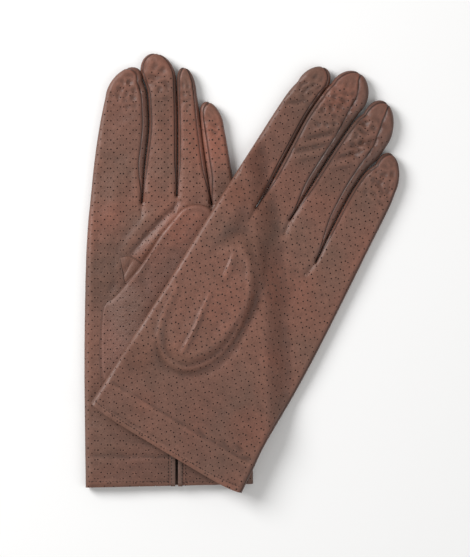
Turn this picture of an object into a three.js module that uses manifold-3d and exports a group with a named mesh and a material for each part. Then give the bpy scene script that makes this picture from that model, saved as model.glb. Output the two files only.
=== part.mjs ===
// A pair of short leather driving gloves, stacked as they are put away. The left glove lies
// palm up on the table with its thumb folded over its palm. The right glove lies back up
// across it, with its own thumb folded under its palm.
// Millimetres. +X to the right, +Y towards the fingertips of the left glove, +Z up from the
// table. Each glove has a flat pattern frame: u across from the index finger's side to the
// little finger's side, v from the cuff to the fingertips, origin at the middle of the cuff.
import * as THREE from 'three';
import { mergeVertices } from 'three/addons/utils/BufferGeometryUtils.js';
import Module from 'manifold-3d';

const wasm = await Module();
wasm.setup();

// Driving dimensions
const LEATHER = 0.7; // one panel of leather
const ROOM = 5.4; // clear height inside a hand or a finger
const THUMB_ROOM = 3.2; // clear height inside a folded thumb
const EDGE = 0.8; // width of a fold, a fourchette or a seam seen from above
const GAP = 0.3; // between pieces that touch
const EDGE_GAP = { left: 0.3, right: 0.7 }; // above and below what stands between two panels
const KNUCKLE_GAP = 0.5; // between a hand and a finger, with the hinge in its middle
const TAPE = 0.6; // elastic tape and vent binding
const THUMB_HOLE_RADIUS = 8.5;
const VENT_WIDTH = 1.6;
const VENT_LENGTH = 17.5;
const VENT_FOOT = 1.2; // from the cuff's edge to the bindings
const BINDING_WIDTH = 3.6;
const ELASTIC_WIDTH = 5;
const GLOVE_HEIGHT = 2 * LEATHER + ROOM;
const THUMB_HEIGHT = 2 * LEATHER + THUMB_ROOM;
const THUMB_LEVEL = GLOVE_HEIGHT + GAP; // both thumbs lie on the left palm
const OVER_THUMBS = THUMB_LEVEL + THUMB_HEIGHT + GAP; // underside of the right palm there

const degrees = THREE.MathUtils.degToRad;
const smooth = THREE.MathUtils.smoothstep;

// Where the left glove's little finger side ends: X at a given Y, as a parabola that starts
// to curve inwards at CURVE_FROM.
const LEFT_EDGE_X = 6.4;
const CURVE_FROM = -60;
const CURVE_DROP = 11.2; // how far in it has come after CURVE_REACH
const CURVE_REACH = 113.6;

function leftGloveEdge(y) {
  const share = Math.max(0, (y - CURVE_FROM) / CURVE_REACH);
  return LEFT_EDGE_X - CURVE_DROP * share ** 2;
}

const LEFT = {
  name: 'left',
  palmUp: true,
  cuff: [-39.8, -117.4],
  turn: 0,
  indexSide: [[-46.2, -0.9], [-46.7, 38], [-46.8, 76], [-46.2, 119]],
  littleSide: [[46.2, 1.6], [45.6, 47], [44.2, 91], [41.7, 130]],
  fingers: [
    { name: 'index', root: [-29.3, 157], lean: 5.3, length: 73.5, rootWidth: 27.6, padWidth: 21.5 },
    { name: 'middle', root: [-5.4, 158], lean: 0.6, length: 80, rootWidth: 17.6, padWidth: 14.4 },
    { name: 'ring', root: [13, 157.5], lean: -3.5, length: 72.5, rootWidth: 16, padWidth: 10.5 },
    { name: 'little', root: [27.8, 170], lean: -8, length: 41.5, rootWidth: 14.6, padWidth: 11.5 },
  ],
  thumb: { root: [-23.1, 89.5], lean: 35.1, length: 80, rootRadius: 13, tipRadius: 10.5 },
  gusset: { at: [-22.2, 119.5], turn: 25 },
  vent: 4.1,
  elastic: { from: 12, to: 42, at: 52 },
};

const RIGHT = {
  name: 'right',
  palmUp: false,
  cuff: [-40.5, -97],
  turn: -30.7,
  indexSide: [[-49.4, 0], [-48, 30], [-47.2, 60], [-46.9, 105]],
  littleSide: [[47.1, 0], [44.6, 45], [43.3, 90], [41.3, 118]],
  fingers: [
    { name: 'index', root: [-35.9, 139.7], lean: 1.2, length: 82, rootWidth: 18.4, padWidth: 15 },
    { name: 'middle', root: [-16.6, 141], lean: 1.6, length: 91, rootWidth: 18.8, padWidth: 18 },
    { name: 'ring', root: [5.2, 137], lean: 2.6, length: 88.5, rootWidth: 22.2, padWidth: 18.5 },
    { name: 'little', root: [28.6, 131.5], lean: -0.7, length: 70, rootWidth: 22.2, padWidth: 13.5 },
  ],
  thumb: { root: [-27.5, 44], lean: 9.6, length: 78, rootRadius: 11.5, tipRadius: 10.5 },
  gusset: { at: [-37, 74], turn: 0 },
  vent: 4.1,
  elastic: { from: 10, to: 38, at: 52 },
};

// How high the underside of a glove lies. The left one is flat on the table. The right one
// lies over the left hand, higher over the two thumbs, and falls to the table beside it.
const MOUND = { right: [5, 23], cuffSide: [12, 28], fingerSide: [134, 149], slant: 0.3, from: -45 };
const FALL = [6, 21];

function underside(glove, x, y) {
  if (glove.palmUp) return 0;
  const edge = leftGloveEdge(y);
  const onHand = 1 - smooth(x, edge + FALL[0], edge + FALL[1]);
  const [u, v] = onPattern(glove, x, y);
  const onThumbs = (1 - smooth(u, ...MOUND.right))
    * smooth(v, ...MOUND.cuffSide)
    * (1 - smooth(v + MOUND.slant * (u - MOUND.from), ...MOUND.fingerSide));
  const hand = THUMB_LEVEL * onHand;
  return hand + (OVER_THUMBS - hand) * onThumbs;
}

// Pattern frame to table and back
function onTable(glove, u, v) {
  const c = Math.cos(degrees(glove.turn));
  const s = Math.sin(degrees(glove.turn));
  return [glove.cuff[0] + c * u - s * v, glove.cuff[1] + s * u + c * v];
}

function onPattern(glove, x, y) {
  const c = Math.cos(degrees(glove.turn));
  const s = Math.sin(degrees(glove.turn));
  const dx = x - glove.cuff[0];
  const dy = y - glove.cuff[1];
  return [c * dx + s * dy, -s * dx + c * dy];
}

// A point of a finger or a thumb, in the pattern frame, from its own across and along.
function onDigit(digit, across, along) {
  const c = Math.cos(degrees(digit.lean));
  const s = Math.sin(degrees(digit.lean));
  return [digit.root[0] + c * across + s * along, digit.root[1] - s * across + c * along];
}

// Bending a box of nu by nv cells into a piece: place gets a, b and c from 0 to 1.
function bentBox(nu, nv, place) {
  const geometry = new THREE.BoxGeometry(1, 1, 1, nu, nv, 1);
  const position = geometry.attributes.position;
  for (let i = 0; i < position.count; i += 1) {
    const a = position.getX(i) + 0.5;
    const b = position.getY(i) + 0.5;
    const c = position.getZ(i) + 0.5;
    position.setXYZ(i, ...place(a, b, c));
  }
  return welded(geometry);
}

function welded(geometry) {
  const bare = geometry.clone();
  bare.deleteAttribute('normal');
  bare.deleteAttribute('uv');
  const merged = mergeVertices(bare, 1e-4);
  merged.computeVertexNormals();
  return merged;
}

function toManifold(geometry) {
  const whole = welded(geometry);
  return new wasm.Manifold(new wasm.Mesh({
    numProp: 3,
    vertProperties: new Float32Array(whole.attributes.position.array),
    triVerts: new Uint32Array(whole.index.array),
  }));
}

function cutAway(geometry, cutters) {
  let solid = toManifold(geometry);
  for (const cutter of cutters) solid = solid.subtract(toManifold(cutter));
  const mesh = solid.getMesh();
  const cut = new THREE.BufferGeometry();
  cut.setAttribute('position', new THREE.BufferAttribute(mesh.vertProperties, 3));
  cut.setIndex(new THREE.BufferAttribute(mesh.triVerts, 1));
  cut.computeVertexNormals();
  return cut;
}

// A point of the table plan lifted to a height above the glove's underside.
function lifted(glove, [u, v], height) {
  const [x, y] = onTable(glove, u, v);
  return [x, y, underside(glove, x, y) + height];
}

// Colours of the leather: each piece of a hide is a little different.
const BROWN = { panel: 0x71544b, finger: 0x7a5649, thumb: 0x75554a, edge: 0x634a40, trim: 0x4f3a33 };

function piece(name, geometry, colour) {
  const material = new THREE.MeshStandardMaterial({ color: colour, roughness: 0.55, metalness: 0 });
  const mesh = new THREE.Mesh(geometry, material);
  mesh.name = name;
  return mesh;
}

// The hand: its two sides as curves, and its knuckle edge as one corner point after another.
function sides(glove) {
  const first = glove.fingers[0];
  const last = glove.fingers[glove.fingers.length - 1];
  const back = -KNUCKLE_GAP / 2;
  const indexCorner = onDigit(first, -first.rootWidth / 2, back);
  const littleCorner = onDigit(last, last.rootWidth / 2, back);
  const curve = (points) => new THREE.SplineCurve(points.map(([u, v]) => new THREE.Vector2(u, v)));
  return {
    index: curve([...glove.indexSide, indexCorner]),
    little: curve([...glove.littleSide, littleCorner]),
  };
}

const KNUCKLE_POINTS = { left: [-0.5, 0.5], right: [-0.5, -0.25, 0, 0.25, 0.5] };

function knuckleCorners(glove) {
  const back = -KNUCKLE_GAP / 2;
  const corners = [];
  for (const finger of glove.fingers) {
    for (const across of KNUCKLE_POINTS[glove.name]) {
      corners.push(onDigit(finger, across * finger.rootWidth, back));
    }
  }
  return corners;
}

const HAND_ROWS = { left: 7, right: 18 };
const KNUCKLE_PULL = 3; // how near the knuckles the panel starts to follow their corners

function handPanel(glove, height) {
  const { index, little } = sides(glove);
  const corners = knuckleCorners(glove);
  const columns = corners.length - 1;
  const start = index.getPoint(1);
  const end = little.getPoint(1);
  const shares = corners.map(([u]) => (u - start.x) / (end.x - start.x));
  const rows = HAND_ROWS[glove.name];
  return bentBox(columns, rows, (a, b, c) => {
    const k = Math.round(a * columns);
    const share = shares[k];
    const onIndex = index.getPoint(b);
    const onLittle = little.getPoint(b);
    const pull = b ** KNUCKLE_PULL;
    const flatU = (1 - share) * onIndex.x + share * onLittle.x;
    const flatV = (1 - share) * onIndex.y + share * onLittle.y;
    const u = flatU + pull * (corners[k][0] - (1 - share) * start.x - share * end.x);
    const v = flatV + pull * (corners[k][1] - (1 - share) * start.y - share * end.y);
    return lifted(glove, [u, v], height + c * LEATHER);
  });
}

// A strip standing inside an outline that runs from b = 0 to 1. side is -1 where the inside is
// towards +u, and 1 where it is towards -u. place takes a flat point and c, from 0 to 1.
const STEP = 1e-3; // of b, to find which way the outline runs

function standingEdge(outline, side, cells, place) {
  return bentBox(1, cells, (a, b, c) => {
    const [u, v] = outline(b);
    const [u0, v0] = outline(Math.max(0, b - STEP));
    const [u1, v1] = outline(Math.min(1, b + STEP));
    const length = Math.hypot(u1 - u0, v1 - v0);
    const inward = side < 0 ? a * EDGE : (1 - a) * EDGE;
    const inU = (-side * (v1 - v0)) / length;
    const inV = (side * (u1 - u0)) / length;
    return place([u + inU * inward, v + inV * inward], c);
  });
}

// What stands between the two panels of a hand or a finger
function betweenPanels(glove) {
  const gap = EDGE_GAP[glove.name];
  const tall = ROOM - 2 * gap;
  return (point, c) => lifted(glove, point, LEATHER + gap + c * tall);
}

// A digit's half width at a distance along it: straight sides, then a rounded tip.
const TIP_SHARE = 0.62; // length of the rounded tip over its width
const TIP_FROM = 0.5; // share of the outline that runs along the side, before the tip
const TIP_END = 80; // degrees of the rounding that are kept, so that the tip ends in a small flat

function digitOutline(finger, side, b) {
  const cap = TIP_SHARE * finger.padWidth;
  const straight = finger.length - cap;
  const front = KNUCKLE_GAP / 2;
  if (b <= TIP_FROM) {
    const along = front + (b / TIP_FROM) * (straight - front);
    const width = THREE.MathUtils.lerp(finger.rootWidth, finger.padWidth, along / straight);
    return onDigit(finger, (side * width) / 2, along);
  }
  const angle = (degrees(TIP_END) * (b - TIP_FROM)) / (1 - TIP_FROM);
  return onDigit(finger, side * (finger.padWidth / 2) * Math.cos(angle), straight + cap * Math.sin(angle));
}

const FINGER_CELLS = { left: [1, 8], right: [2, 12] };

function fingerPanel(glove, finger, height) {
  const [nu, nv] = FINGER_CELLS[glove.name];
  return bentBox(nu, nv, (a, b, c) => {
    const [u0, v0] = digitOutline(finger, -1, b);
    const [u1, v1] = digitOutline(finger, 1, b);
    return lifted(glove, [u0 + a * (u1 - u0), v0 + a * (v1 - v0)], height + c * LEATHER);
  });
}

// The thumb is rounded at both ends. Its root turns over the hole in the palm.
const THUMB_SIDE_FROM = 0.3; // shares of its outline between which its side is straight
const THUMB_SIDE_TO = 0.7;

function thumbOutline(thumb, side, b) {
  const cap = thumb.tipRadius;
  const straight = thumb.length - cap;
  const end = degrees(TIP_END);
  if (b < THUMB_SIDE_FROM) {
    const angle = end * (1 - b / THUMB_SIDE_FROM);
    const r = thumb.rootRadius;
    return onDigit(thumb, side * r * Math.cos(angle), -r * Math.sin(angle));
  }
  if (b <= THUMB_SIDE_TO) {
    const share = (b - THUMB_SIDE_FROM) / (THUMB_SIDE_TO - THUMB_SIDE_FROM);
    const half = THREE.MathUtils.lerp(thumb.rootRadius, thumb.tipRadius, share);
    return onDigit(thumb, side * half, share * straight);
  }
  const angle = (end * (b - THUMB_SIDE_TO)) / (1 - THUMB_SIDE_TO);
  return onDigit(thumb, side * thumb.tipRadius * Math.cos(angle), straight + cap * Math.sin(angle));
}

const THUMB_CELLS = 20; // a multiple of ten, so that rows fall where the roundings start

function levelPoint(glove, [u, v], z) {
  return [...onTable(glove, u, v), z];
}

function thumbPanel(glove, z) {
  return bentBox(1, THUMB_CELLS, (a, b, c) => {
    const [u0, v0] = thumbOutline(glove.thumb, -1, b);
    const [u1, v1] = thumbOutline(glove.thumb, 1, b);
    return levelPoint(glove, [u0 + a * (u1 - u0), v0 + a * (v1 - v0)], z + c * LEATHER);
  });
}

function thumbEdge(glove, side) {
  const floor = THUMB_LEVEL + LEATHER + GAP;
  const tall = THUMB_ROOM - 2 * GAP;
  const outline = (b) => thumbOutline(glove.thumb, side, b);
  return standingEdge(outline, side, THUMB_CELLS, (point, c) => (
    levelPoint(glove, point, floor + c * tall)
  ));
}

const TALL = 40; // a cutter that passes through whatever it meets

function thumbHole(glove) {
  const cutter = new THREE.CylinderGeometry(THUMB_HOLE_RADIUS, THUMB_HOLE_RADIUS, TALL, 24);
  const [x, y] = onTable(glove, ...glove.thumb.root);
  return cutter.rotateX(Math.PI / 2).translate(x, y, 0);
}

// The small leaf of leather set in where the thumb leaves the palm
const GUSSET_REACH = 8;
const GUSSET_BULGE = 0.85; // how full its sides are

function gussetSolid(glove, reach, z, tall) {
  const corner = (turn, r) => [r * Math.cos(degrees(turn)), r * Math.sin(degrees(turn))];
  const shape = new THREE.Shape();
  shape.moveTo(...corner(90, reach));
  for (const turn of [210, 330, 90]) {
    shape.quadraticCurveTo(...corner(turn - 60, reach * GUSSET_BULGE), ...corner(turn, reach));
  }
  const leaf = new THREE.ExtrudeGeometry(shape, { depth: tall, bevelEnabled: false, curveSegments: 4 });
  const [x, y] = onTable(glove, ...glove.gusset.at);
  return leaf.rotateZ(degrees(glove.turn + glove.gusset.turn)).translate(x, y, z);
}

function ventSlit(glove) {
  const below = 10;
  const cutter = new THREE.BoxGeometry(VENT_WIDTH, VENT_LENGTH + below, TALL);
  cutter.translate(glove.vent, (VENT_LENGTH - below) / 2, 0);
  const [x, y] = glove.cuff;
  return cutter.rotateZ(degrees(glove.turn)).translate(x, y, 0);
}

// A flat strip on the inside of the palm, from corner to corner of a box in the pattern frame
function insideStrip(glove, [u0, u1], [v0, v1], cells) {
  const gap = EDGE_GAP[glove.name];
  const height = glove.palmUp ? LEATHER + ROOM - gap - TAPE : LEATHER + gap;
  return bentBox(...cells, (a, b, c) => {
    const u = u0 + a * (u1 - u0);
    const v = v0 + b * (v1 - v0);
    return lifted(glove, [u, v], height + c * TAPE);
  });
}

function hand(glove) {
  const upper = LEATHER + ROOM;
  const [palmHeight, backHeight] = glove.palmUp ? [upper, 0] : [0, upper];
  const [gx, gy] = onTable(glove, ...glove.gusset.at);
  const palmFloor = underside(glove, gx, gy) + palmHeight;
  const cutters = [
    thumbHole(glove),
    ventSlit(glove),
    gussetSolid(glove, GUSSET_REACH + GAP, -TALL / 2, TALL),
  ];
  const edges = sides(glove);
  const along = (curve) => (b) => {
    const p = curve.getPoint(b);
    return [p.x, p.y];
  };
  const between = betweenPanels(glove);
  const cells = HAND_ROWS[glove.name];
  const elastic = glove.elastic;
  const half = VENT_WIDTH / 2;
  const bindings = [
    ['index', [glove.vent - half - BINDING_WIDTH, glove.vent - half]],
    ['little', [glove.vent + half, glove.vent + half + BINDING_WIDTH]],
  ];
  const group = new THREE.Group();
  group.add(
    piece(`${glove.name}_back_panel`, handPanel(glove, backHeight), BROWN.panel),
    piece(`${glove.name}_palm_panel`, cutAway(handPanel(glove, palmHeight), cutters), BROWN.panel),
    piece(`${glove.name}_index_side_fold`,
      standingEdge(along(edges.index), -1, cells, between), BROWN.edge),
    piece(`${glove.name}_side_seam`,
      standingEdge(along(edges.little), 1, cells, between), BROWN.edge),
    piece(`${glove.name}_thumb_gusset`, welded(gussetSolid(glove, GUSSET_REACH, palmFloor, LEATHER)),
      BROWN.trim),
    piece(`${glove.name}_wrist_elastic`,
      insideStrip(glove, [elastic.from, elastic.to], [elastic.at, elastic.at + ELASTIC_WIDTH], [8, 1]),
      BROWN.trim),
  );
  for (const [name, span] of bindings) {
    const strip = insideStrip(glove, span, [VENT_FOOT, VENT_FOOT + VENT_LENGTH], [1, 4]);
    group.add(piece(`${glove.name}_vent_binding_${name}`, strip, BROWN.trim));
  }
  return group;
}

// What stands at each side of each finger: the fold of the trank outside the index finger, the
// side seam outside the little finger, and fourchettes between the fingers.
function edgeName(glove, finger, side) {
  if (finger.name === 'index' && side < 0) return `${glove.name}_index_fold`;
  if (finger.name === 'little' && side > 0) return `${glove.name}_little_seam`;
  return `${glove.name}_${finger.name}_fourchette_${side < 0 ? 'a' : 'b'}`;
}

function fingers(glove) {
  const upper = LEATHER + ROOM;
  const [palmHeight, backHeight] = glove.palmUp ? [upper, 0] : [0, upper];
  const group = new THREE.Group();
  for (const finger of glove.fingers) {
    const name = `${glove.name}_${finger.name}`;
    group.add(
      piece(`${name}_back`, fingerPanel(glove, finger, backHeight), BROWN.finger),
      piece(`${name}_palm`, fingerPanel(glove, finger, palmHeight), BROWN.finger),
    );
    for (const side of [-1, 1]) {
      const outline = (b) => digitOutline(finger, side, b);
      const cells = FINGER_CELLS[glove.name][1];
      const edge = standingEdge(outline, side, cells, betweenPanels(glove));
      group.add(piece(edgeName(glove, finger, side), edge, BROWN.edge));
    }
  }
  return group;
}

function thumb(glove) {
  const lower = THUMB_LEVEL;
  const upper = THUMB_LEVEL + LEATHER + THUMB_ROOM;
  const [innerZ, outerZ] = glove.palmUp ? [lower, upper] : [upper, lower];
  const inner = cutAway(thumbPanel(glove, innerZ), [thumbHole(glove)]);
  const group = new THREE.Group();
  group.add(
    piece(`${glove.name}_thumb_outer`, thumbPanel(glove, outerZ), BROWN.thumb),
    piece(`${glove.name}_thumb_inner`, inner, BROWN.thumb),
    piece(`${glove.name}_thumb_fold`, thumbEdge(glove, -1), BROWN.edge),
    piece(`${glove.name}_thumb_seam`, thumbEdge(glove, 1), BROWN.edge),
  );
  return group;
}

const gloves = new THREE.Group();
for (const glove of [LEFT, RIGHT]) gloves.add(hand(glove), fingers(glove), thumb(glove));

export default gloves;
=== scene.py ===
"""The looks of a pair of unlined leather driving gloves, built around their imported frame.

The left glove lies palm up on the table and the right glove lies back up across it. Lengths in
this script are millimetres until a mesh is made, which is in metres. Each glove is drawn in its
own flat frame: u runs across from the index finger's side to the little finger's side, and v
from the cuff to the fingertips.
"""

import logging
import math
from dataclasses import dataclass, field
from enum import Enum

import bpy
import numpy as np
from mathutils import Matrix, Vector

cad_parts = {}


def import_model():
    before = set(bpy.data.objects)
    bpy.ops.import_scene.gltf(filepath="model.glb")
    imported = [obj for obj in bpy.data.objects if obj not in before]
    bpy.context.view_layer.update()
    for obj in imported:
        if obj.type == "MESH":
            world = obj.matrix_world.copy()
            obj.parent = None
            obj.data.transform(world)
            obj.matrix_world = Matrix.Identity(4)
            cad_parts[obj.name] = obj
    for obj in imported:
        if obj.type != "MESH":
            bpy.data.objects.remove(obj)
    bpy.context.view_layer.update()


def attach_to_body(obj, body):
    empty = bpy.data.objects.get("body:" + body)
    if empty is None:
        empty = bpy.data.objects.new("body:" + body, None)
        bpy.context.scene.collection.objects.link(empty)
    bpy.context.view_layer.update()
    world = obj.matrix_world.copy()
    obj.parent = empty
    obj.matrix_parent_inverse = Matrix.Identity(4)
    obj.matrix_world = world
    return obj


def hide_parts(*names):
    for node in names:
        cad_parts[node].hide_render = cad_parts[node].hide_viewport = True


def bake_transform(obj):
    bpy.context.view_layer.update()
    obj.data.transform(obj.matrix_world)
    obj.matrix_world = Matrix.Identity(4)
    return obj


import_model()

LOG = logging.getLogger("gloves")
MM = 0.001
Point = tuple[float, float]

# Heights and sizes that both gloves share.
GLOVE_LEVEL = 3.2  # middle of a glove above what it lies on
HALF_HEIGHT = 3.0
EDGE_ROUND = 2.4  # how far in from its outline a glove gets its full height
HAND_LEVEL = 7.1  # what the right glove lies on over the left hand
THUMB_TOP_LEVEL = 12.0  # and over the two thumbs
LEATHER = 0.6  # thickness
COLUMN = 1.15  # steps of the leather's grid, across and along
ROW = 1.25
SMOOTH_ANGLE = math.radians(42)  # an edge sharper than this stays sharp
UNDER_SEAM = 1.0  # how far in the lower seams are, underneath
FINE_COLUMNS = (0.0, 0.28, 0.62)  # columns next to a sewn border
STRAIGHT_SHARE = 0.85  # share of a finger's length that lies before its rounded tip
HEM_TOP = 15.7  # of the turned-in hem, above the cuff's edge
HEM_STITCH = 2.6
WELT_ACROSS = 0.24  # half sizes of the leather that shows between two sewn edges
WELT_TALL = 0.30
WELT_SUNK = 0.15
SEAM_SINK = 0.55  # how deep, and how far in, a sewn border is drawn down
TABLE_CLEAR = 0.05  # what leather keeps above what it lies on
THREAD_CLEAR = 0.23  # and what the middle of a thread keeps


def ramp(x: np.ndarray, low: float, high: float) -> np.ndarray:
    """Smooth step from 0 at low to 1 at high.

    Args:
        x: Values.
        low: Where the step starts.
        high: Where it ends.

    Returns:
        The step at each value.
    """
    share = np.clip((x - low) / (high - low), 0.0, 1.0)
    return share * share * (3.0 - 2.0 * share)


def dome(distance: np.ndarray) -> np.ndarray:
    """Share of the full height at a distance in from the outline: a round edge, then flat."""
    near = np.clip(distance / EDGE_ROUND, 0.0, 1.0)
    return np.sqrt(np.clip(1.0 - (1.0 - near) ** 2, 0.0, 1.0))


@dataclass(frozen=True)
class Track:
    """A smooth line through a few points of a glove's flat frame."""

    points: tuple[Point, ...]

    def dense(self) -> np.ndarray:
        """Many points along the line, as a Catmull-Rom spline.

        Returns:
            One row (u, v) for each.
        """
        p = np.array(self.points, float)
        if len(p) == 2:
            return p[0] + np.linspace(0, 1, 60)[:, None] * (p[1] - p[0])
        ends = np.vstack([2 * p[0] - p[1], p, 2 * p[-1] - p[-2]])
        rows = []
        t = np.linspace(0, 1, 30, endpoint=False)[:, None]
        for k in range(len(p) - 1):
            a, b, c, d = ends[k : k + 4]
            square = (2 * a - 5 * b + 4 * c - d) * t**2
            cube = (3 * b - a - 3 * c + d) * t**3
            rows.append(0.5 * (2 * b + (c - a) * t + square + cube))
        return np.vstack(rows + [p[-1:]])

    def length(self) -> float:
        """Length of the line."""
        return float(np.hypot(*np.diff(self.dense(), axis=0).T).sum())

    def at(self, share: np.ndarray) -> np.ndarray:
        """Points at shares of the line's length.

        Args:
            share: Values from 0 to 1.

        Returns:
            One row (u, v) for each.
        """
        line = self.dense()
        along = np.concatenate([[0], np.cumsum(np.hypot(*np.diff(line, axis=0).T))])
        at = np.asarray(share) * along[-1]
        return np.stack([np.interp(at, along, line[:, 0]), np.interp(at, along, line[:, 1])], -1)


@dataclass(frozen=True)
class Crease:
    """A long soft ridge in the leather, or a valley where its height is below 0."""

    start: Point
    end: Point
    height: float
    width: float
    bow: float = 0.0

    def lift(self, u: np.ndarray, v: np.ndarray) -> np.ndarray:
        """Height that the crease adds at points of the flat frame.

        Args:
            u: Across.
            v: Along.

        Returns:
            The height, in millimetres.
        """
        a, b = np.array(self.start), np.array(self.end)
        run = b - a
        length = float(np.hypot(*run))
        x = ((u - a[0]) * run[0] + (v - a[1]) * run[1]) / length
        y = (-(u - a[0]) * run[1] + (v - a[1]) * run[0]) / length
        share = np.clip(x / length, 0.0, 1.0)
        y = y - self.bow * 4.0 * share * (1.0 - share)
        beyond = np.maximum(np.maximum(-x, x - length), 0.0)
        fade = np.sin(np.pi * np.clip(0.08 + 0.84 * share, 0, 1)) ** 0.7
        return self.height * fade * np.exp(-((y / self.width) ** 2) - (beyond / self.width) ** 2)


@dataclass(frozen=True)
class Rim:
    """A long ridge that follows a curved line, or a valley where its height is below 0."""

    points: tuple[Point, ...]
    height: float
    width: float

    def lift(self, u: np.ndarray, v: np.ndarray) -> np.ndarray:
        """Height that the ridge adds at points of the flat frame.

        Args:
            u: Across.
            v: Along.

        Returns:
            The height, in millimetres.
        """
        line = Track(self.points).dense()[::3]
        share = np.sin(np.pi * np.linspace(0.06, 0.94, len(line))) ** 0.35
        lift = np.zeros_like(u)
        for (a, b), strength in zip(line, share):
            gap = ((u - a) ** 2 + (v - b) ** 2) / self.width**2
            lift = np.maximum(lift, strength * np.exp(-gap))
        return self.height * lift


def ripple(u: np.ndarray, v: np.ndarray, wavelength: float, seed: int) -> np.ndarray:
    """Gentle unevenness without a direction, about -1 to 1.

    Args:
        u: Across.
        v: Along.
        wavelength: Size of the waves in millimetres.
        seed: Which unevenness.

    Returns:
        Its height at each point.
    """
    rng = np.random.default_rng(seed)
    total = np.zeros_like(u)
    for _ in range(9):
        turn = rng.uniform(0, 2 * math.pi)
        rate = 2 * math.pi / (wavelength * rng.uniform(0.7, 1.5))
        phase = rng.uniform(0, 2 * math.pi)
        bend = 0.8 * np.sin(0.45 * rate * (u * math.sin(turn) - v * math.cos(turn)) + 2 * phase)
        total += np.sin(rate * (u * math.cos(turn) + v * math.sin(turn)) + phase + bend)
    return total / 4.0


@dataclass(frozen=True)
class Lay:
    """How a glove lies on the table."""

    cuff: Point
    turn: float
    on_top: bool

    def on_table(self, u: np.ndarray, v: np.ndarray) -> tuple[np.ndarray, np.ndarray]:
        """Places of the table under points of the flat frame."""
        c, s = math.cos(math.radians(self.turn)), math.sin(math.radians(self.turn))
        return self.cuff[0] + c * u - s * v, self.cuff[1] + s * u + c * v

    def underside(self, u: np.ndarray, v: np.ndarray) -> np.ndarray:
        """Height of what the glove lies on: the table, the left hand, or the two thumbs.

        Args:
            u: Across.
            v: Along.

        Returns:
            The height at each point, in millimetres.
        """
        u, v = np.asarray(u, float), np.asarray(v, float)
        if not self.on_top:
            return np.zeros_like(u)
        x, y = self.on_table(u, v)
        edge = 6.4 - 11.2 * np.maximum(0.0, (y + 60.0) / 113.6) ** 2
        hand = HAND_LEVEL * (1.0 - ramp(x, edge + 5.0, edge + 21.0))
        oval = 1.0 - ramp(np.hypot((u + 21.0) / 19.5, (v - 82.0) / 38.0), 0.80, 1.20)
        strip = (1.0 - ramp(u, -38.0, -24.0)) * ramp(v, 24.0, 50.0)
        strip = strip * (1.0 - ramp(v + 0.3 * (u + 45.0), 132.0, 150.0))
        thumbs = 1.0 - (1.0 - oval) * (1.0 - strip)
        return hand + (THUMB_TOP_LEVEL - hand) * thumbs


class Body(Enum):
    """The parts of a glove that move on their own."""

    HAND = "hand"
    INDEX = "index"
    MIDDLE = "middle"
    RING = "ring"
    LITTLE = "little"
    THUMB = "thumb"


# ---------------------------------------------------------------- materials


class Nodes:
    """Short hand for building a node tree."""

    def __init__(self, tree: bpy.types.NodeTree) -> None:
        """Takes the tree to fill."""
        self.tree = tree

    def add(self, kind: str, **settings: object) -> bpy.types.Node:
        """A new node with some of its settings.

        Args:
            kind: The node's type.
            settings: Properties to set on it.

        Returns:
            The node.
        """
        node = self.tree.nodes.new(kind)
        for name, value in settings.items():
            setattr(node, name, value)
        return node

    def put(self, target: bpy.types.NodeSocket, value: object) -> None:
        """Links a socket to target, or gives target a plain value.

        Args:
            target: The input.
            value: A socket to link, a node whose first output to link, or a plain value.
        """
        if isinstance(value, bpy.types.Node):
            value = value.outputs[0]
        if isinstance(value, bpy.types.NodeSocket):
            self.tree.links.new(value, target)
        else:
            target.default_value = value

    def wire(self, kind: str, feeds: dict[str | int, object], **settings: object) -> bpy.types.Node:
        """A new node with its inputs fed.

        Args:
            kind: The node's type.
            feeds: Input name or place to what put takes.
            settings: Properties to set on it.

        Returns:
            The node.
        """
        node = self.add(kind, **settings)
        for socket, value in feeds.items():
            self.put(node.inputs[socket], value)
        return node

    def real(self, copies: bpy.types.Node, material: object) -> bpy.types.Node:
        """Instances made real, all in one material."""
        made = self.wire("GeometryNodeRealizeInstances", {0: copies})
        return self.wire("GeometryNodeSetMaterial", {0: made, "Material": material})

    def math(self, operation: str, *values: object) -> bpy.types.NodeSocket:
        """A Math node's result, from sockets or numbers in order."""
        return self.wire("ShaderNodeMath", dict(enumerate(values)), operation=operation).outputs[0]

    def mix(self, factor: object, a: object, b: object, blend: str = "MIX") -> bpy.types.NodeSocket:
        """A colour between two colours."""
        feeds = {0: factor, 6: a, 7: b}
        return self.wire("ShaderNodeMix", feeds, data_type="RGBA", blend_type=blend).outputs[2]

    def band(self, value: object, low: float, high: float) -> bpy.types.NodeSocket:
        """Maps low to 0 and high to 1, smoothly."""
        feeds = {"Value": value, "From Min": low, "From Max": high}
        return self.wire("ShaderNodeMapRange", feeds, interpolation_type="SMOOTHSTEP").outputs[0]

    def noise(
        self, vector: object, scale: object, detail: float, rough: float = 0.5
    ) -> bpy.types.NodeSocket:
        """A Noise texture's value."""
        feeds = {"Vector": vector, "Scale": scale, "Detail": detail, "Roughness": rough}
        return self.wire("ShaderNodeTexNoise", feeds, noise_dimensions="3D").outputs[0]

    def attribute(self, name: str) -> bpy.types.NodeSocket:
        """A mesh attribute's value."""
        return self.add("ShaderNodeAttribute", attribute_name=name).outputs["Fac"]


def group_tree(name: str, kind: str, inputs: dict[str, tuple], outputs: dict[str, str]) -> Nodes:
    """A new node group with named sockets.

    Args:
        name: The group's name.
        kind: ShaderNodeTree or GeometryNodeTree.
        inputs: Name to (socket type, default value or None).
        outputs: Name to socket type.

    Returns:
        The nodes of the group.
    """
    tree = bpy.data.node_groups.new(name, kind)
    for label, (socket, value) in inputs.items():
        made = tree.interface.new_socket(label, in_out="INPUT", socket_type=socket)
        if value is not None:
            made.default_value = value
    for label, socket in outputs.items():
        tree.interface.new_socket(label, in_out="OUTPUT", socket_type=socket)
    return Nodes(tree)


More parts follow.
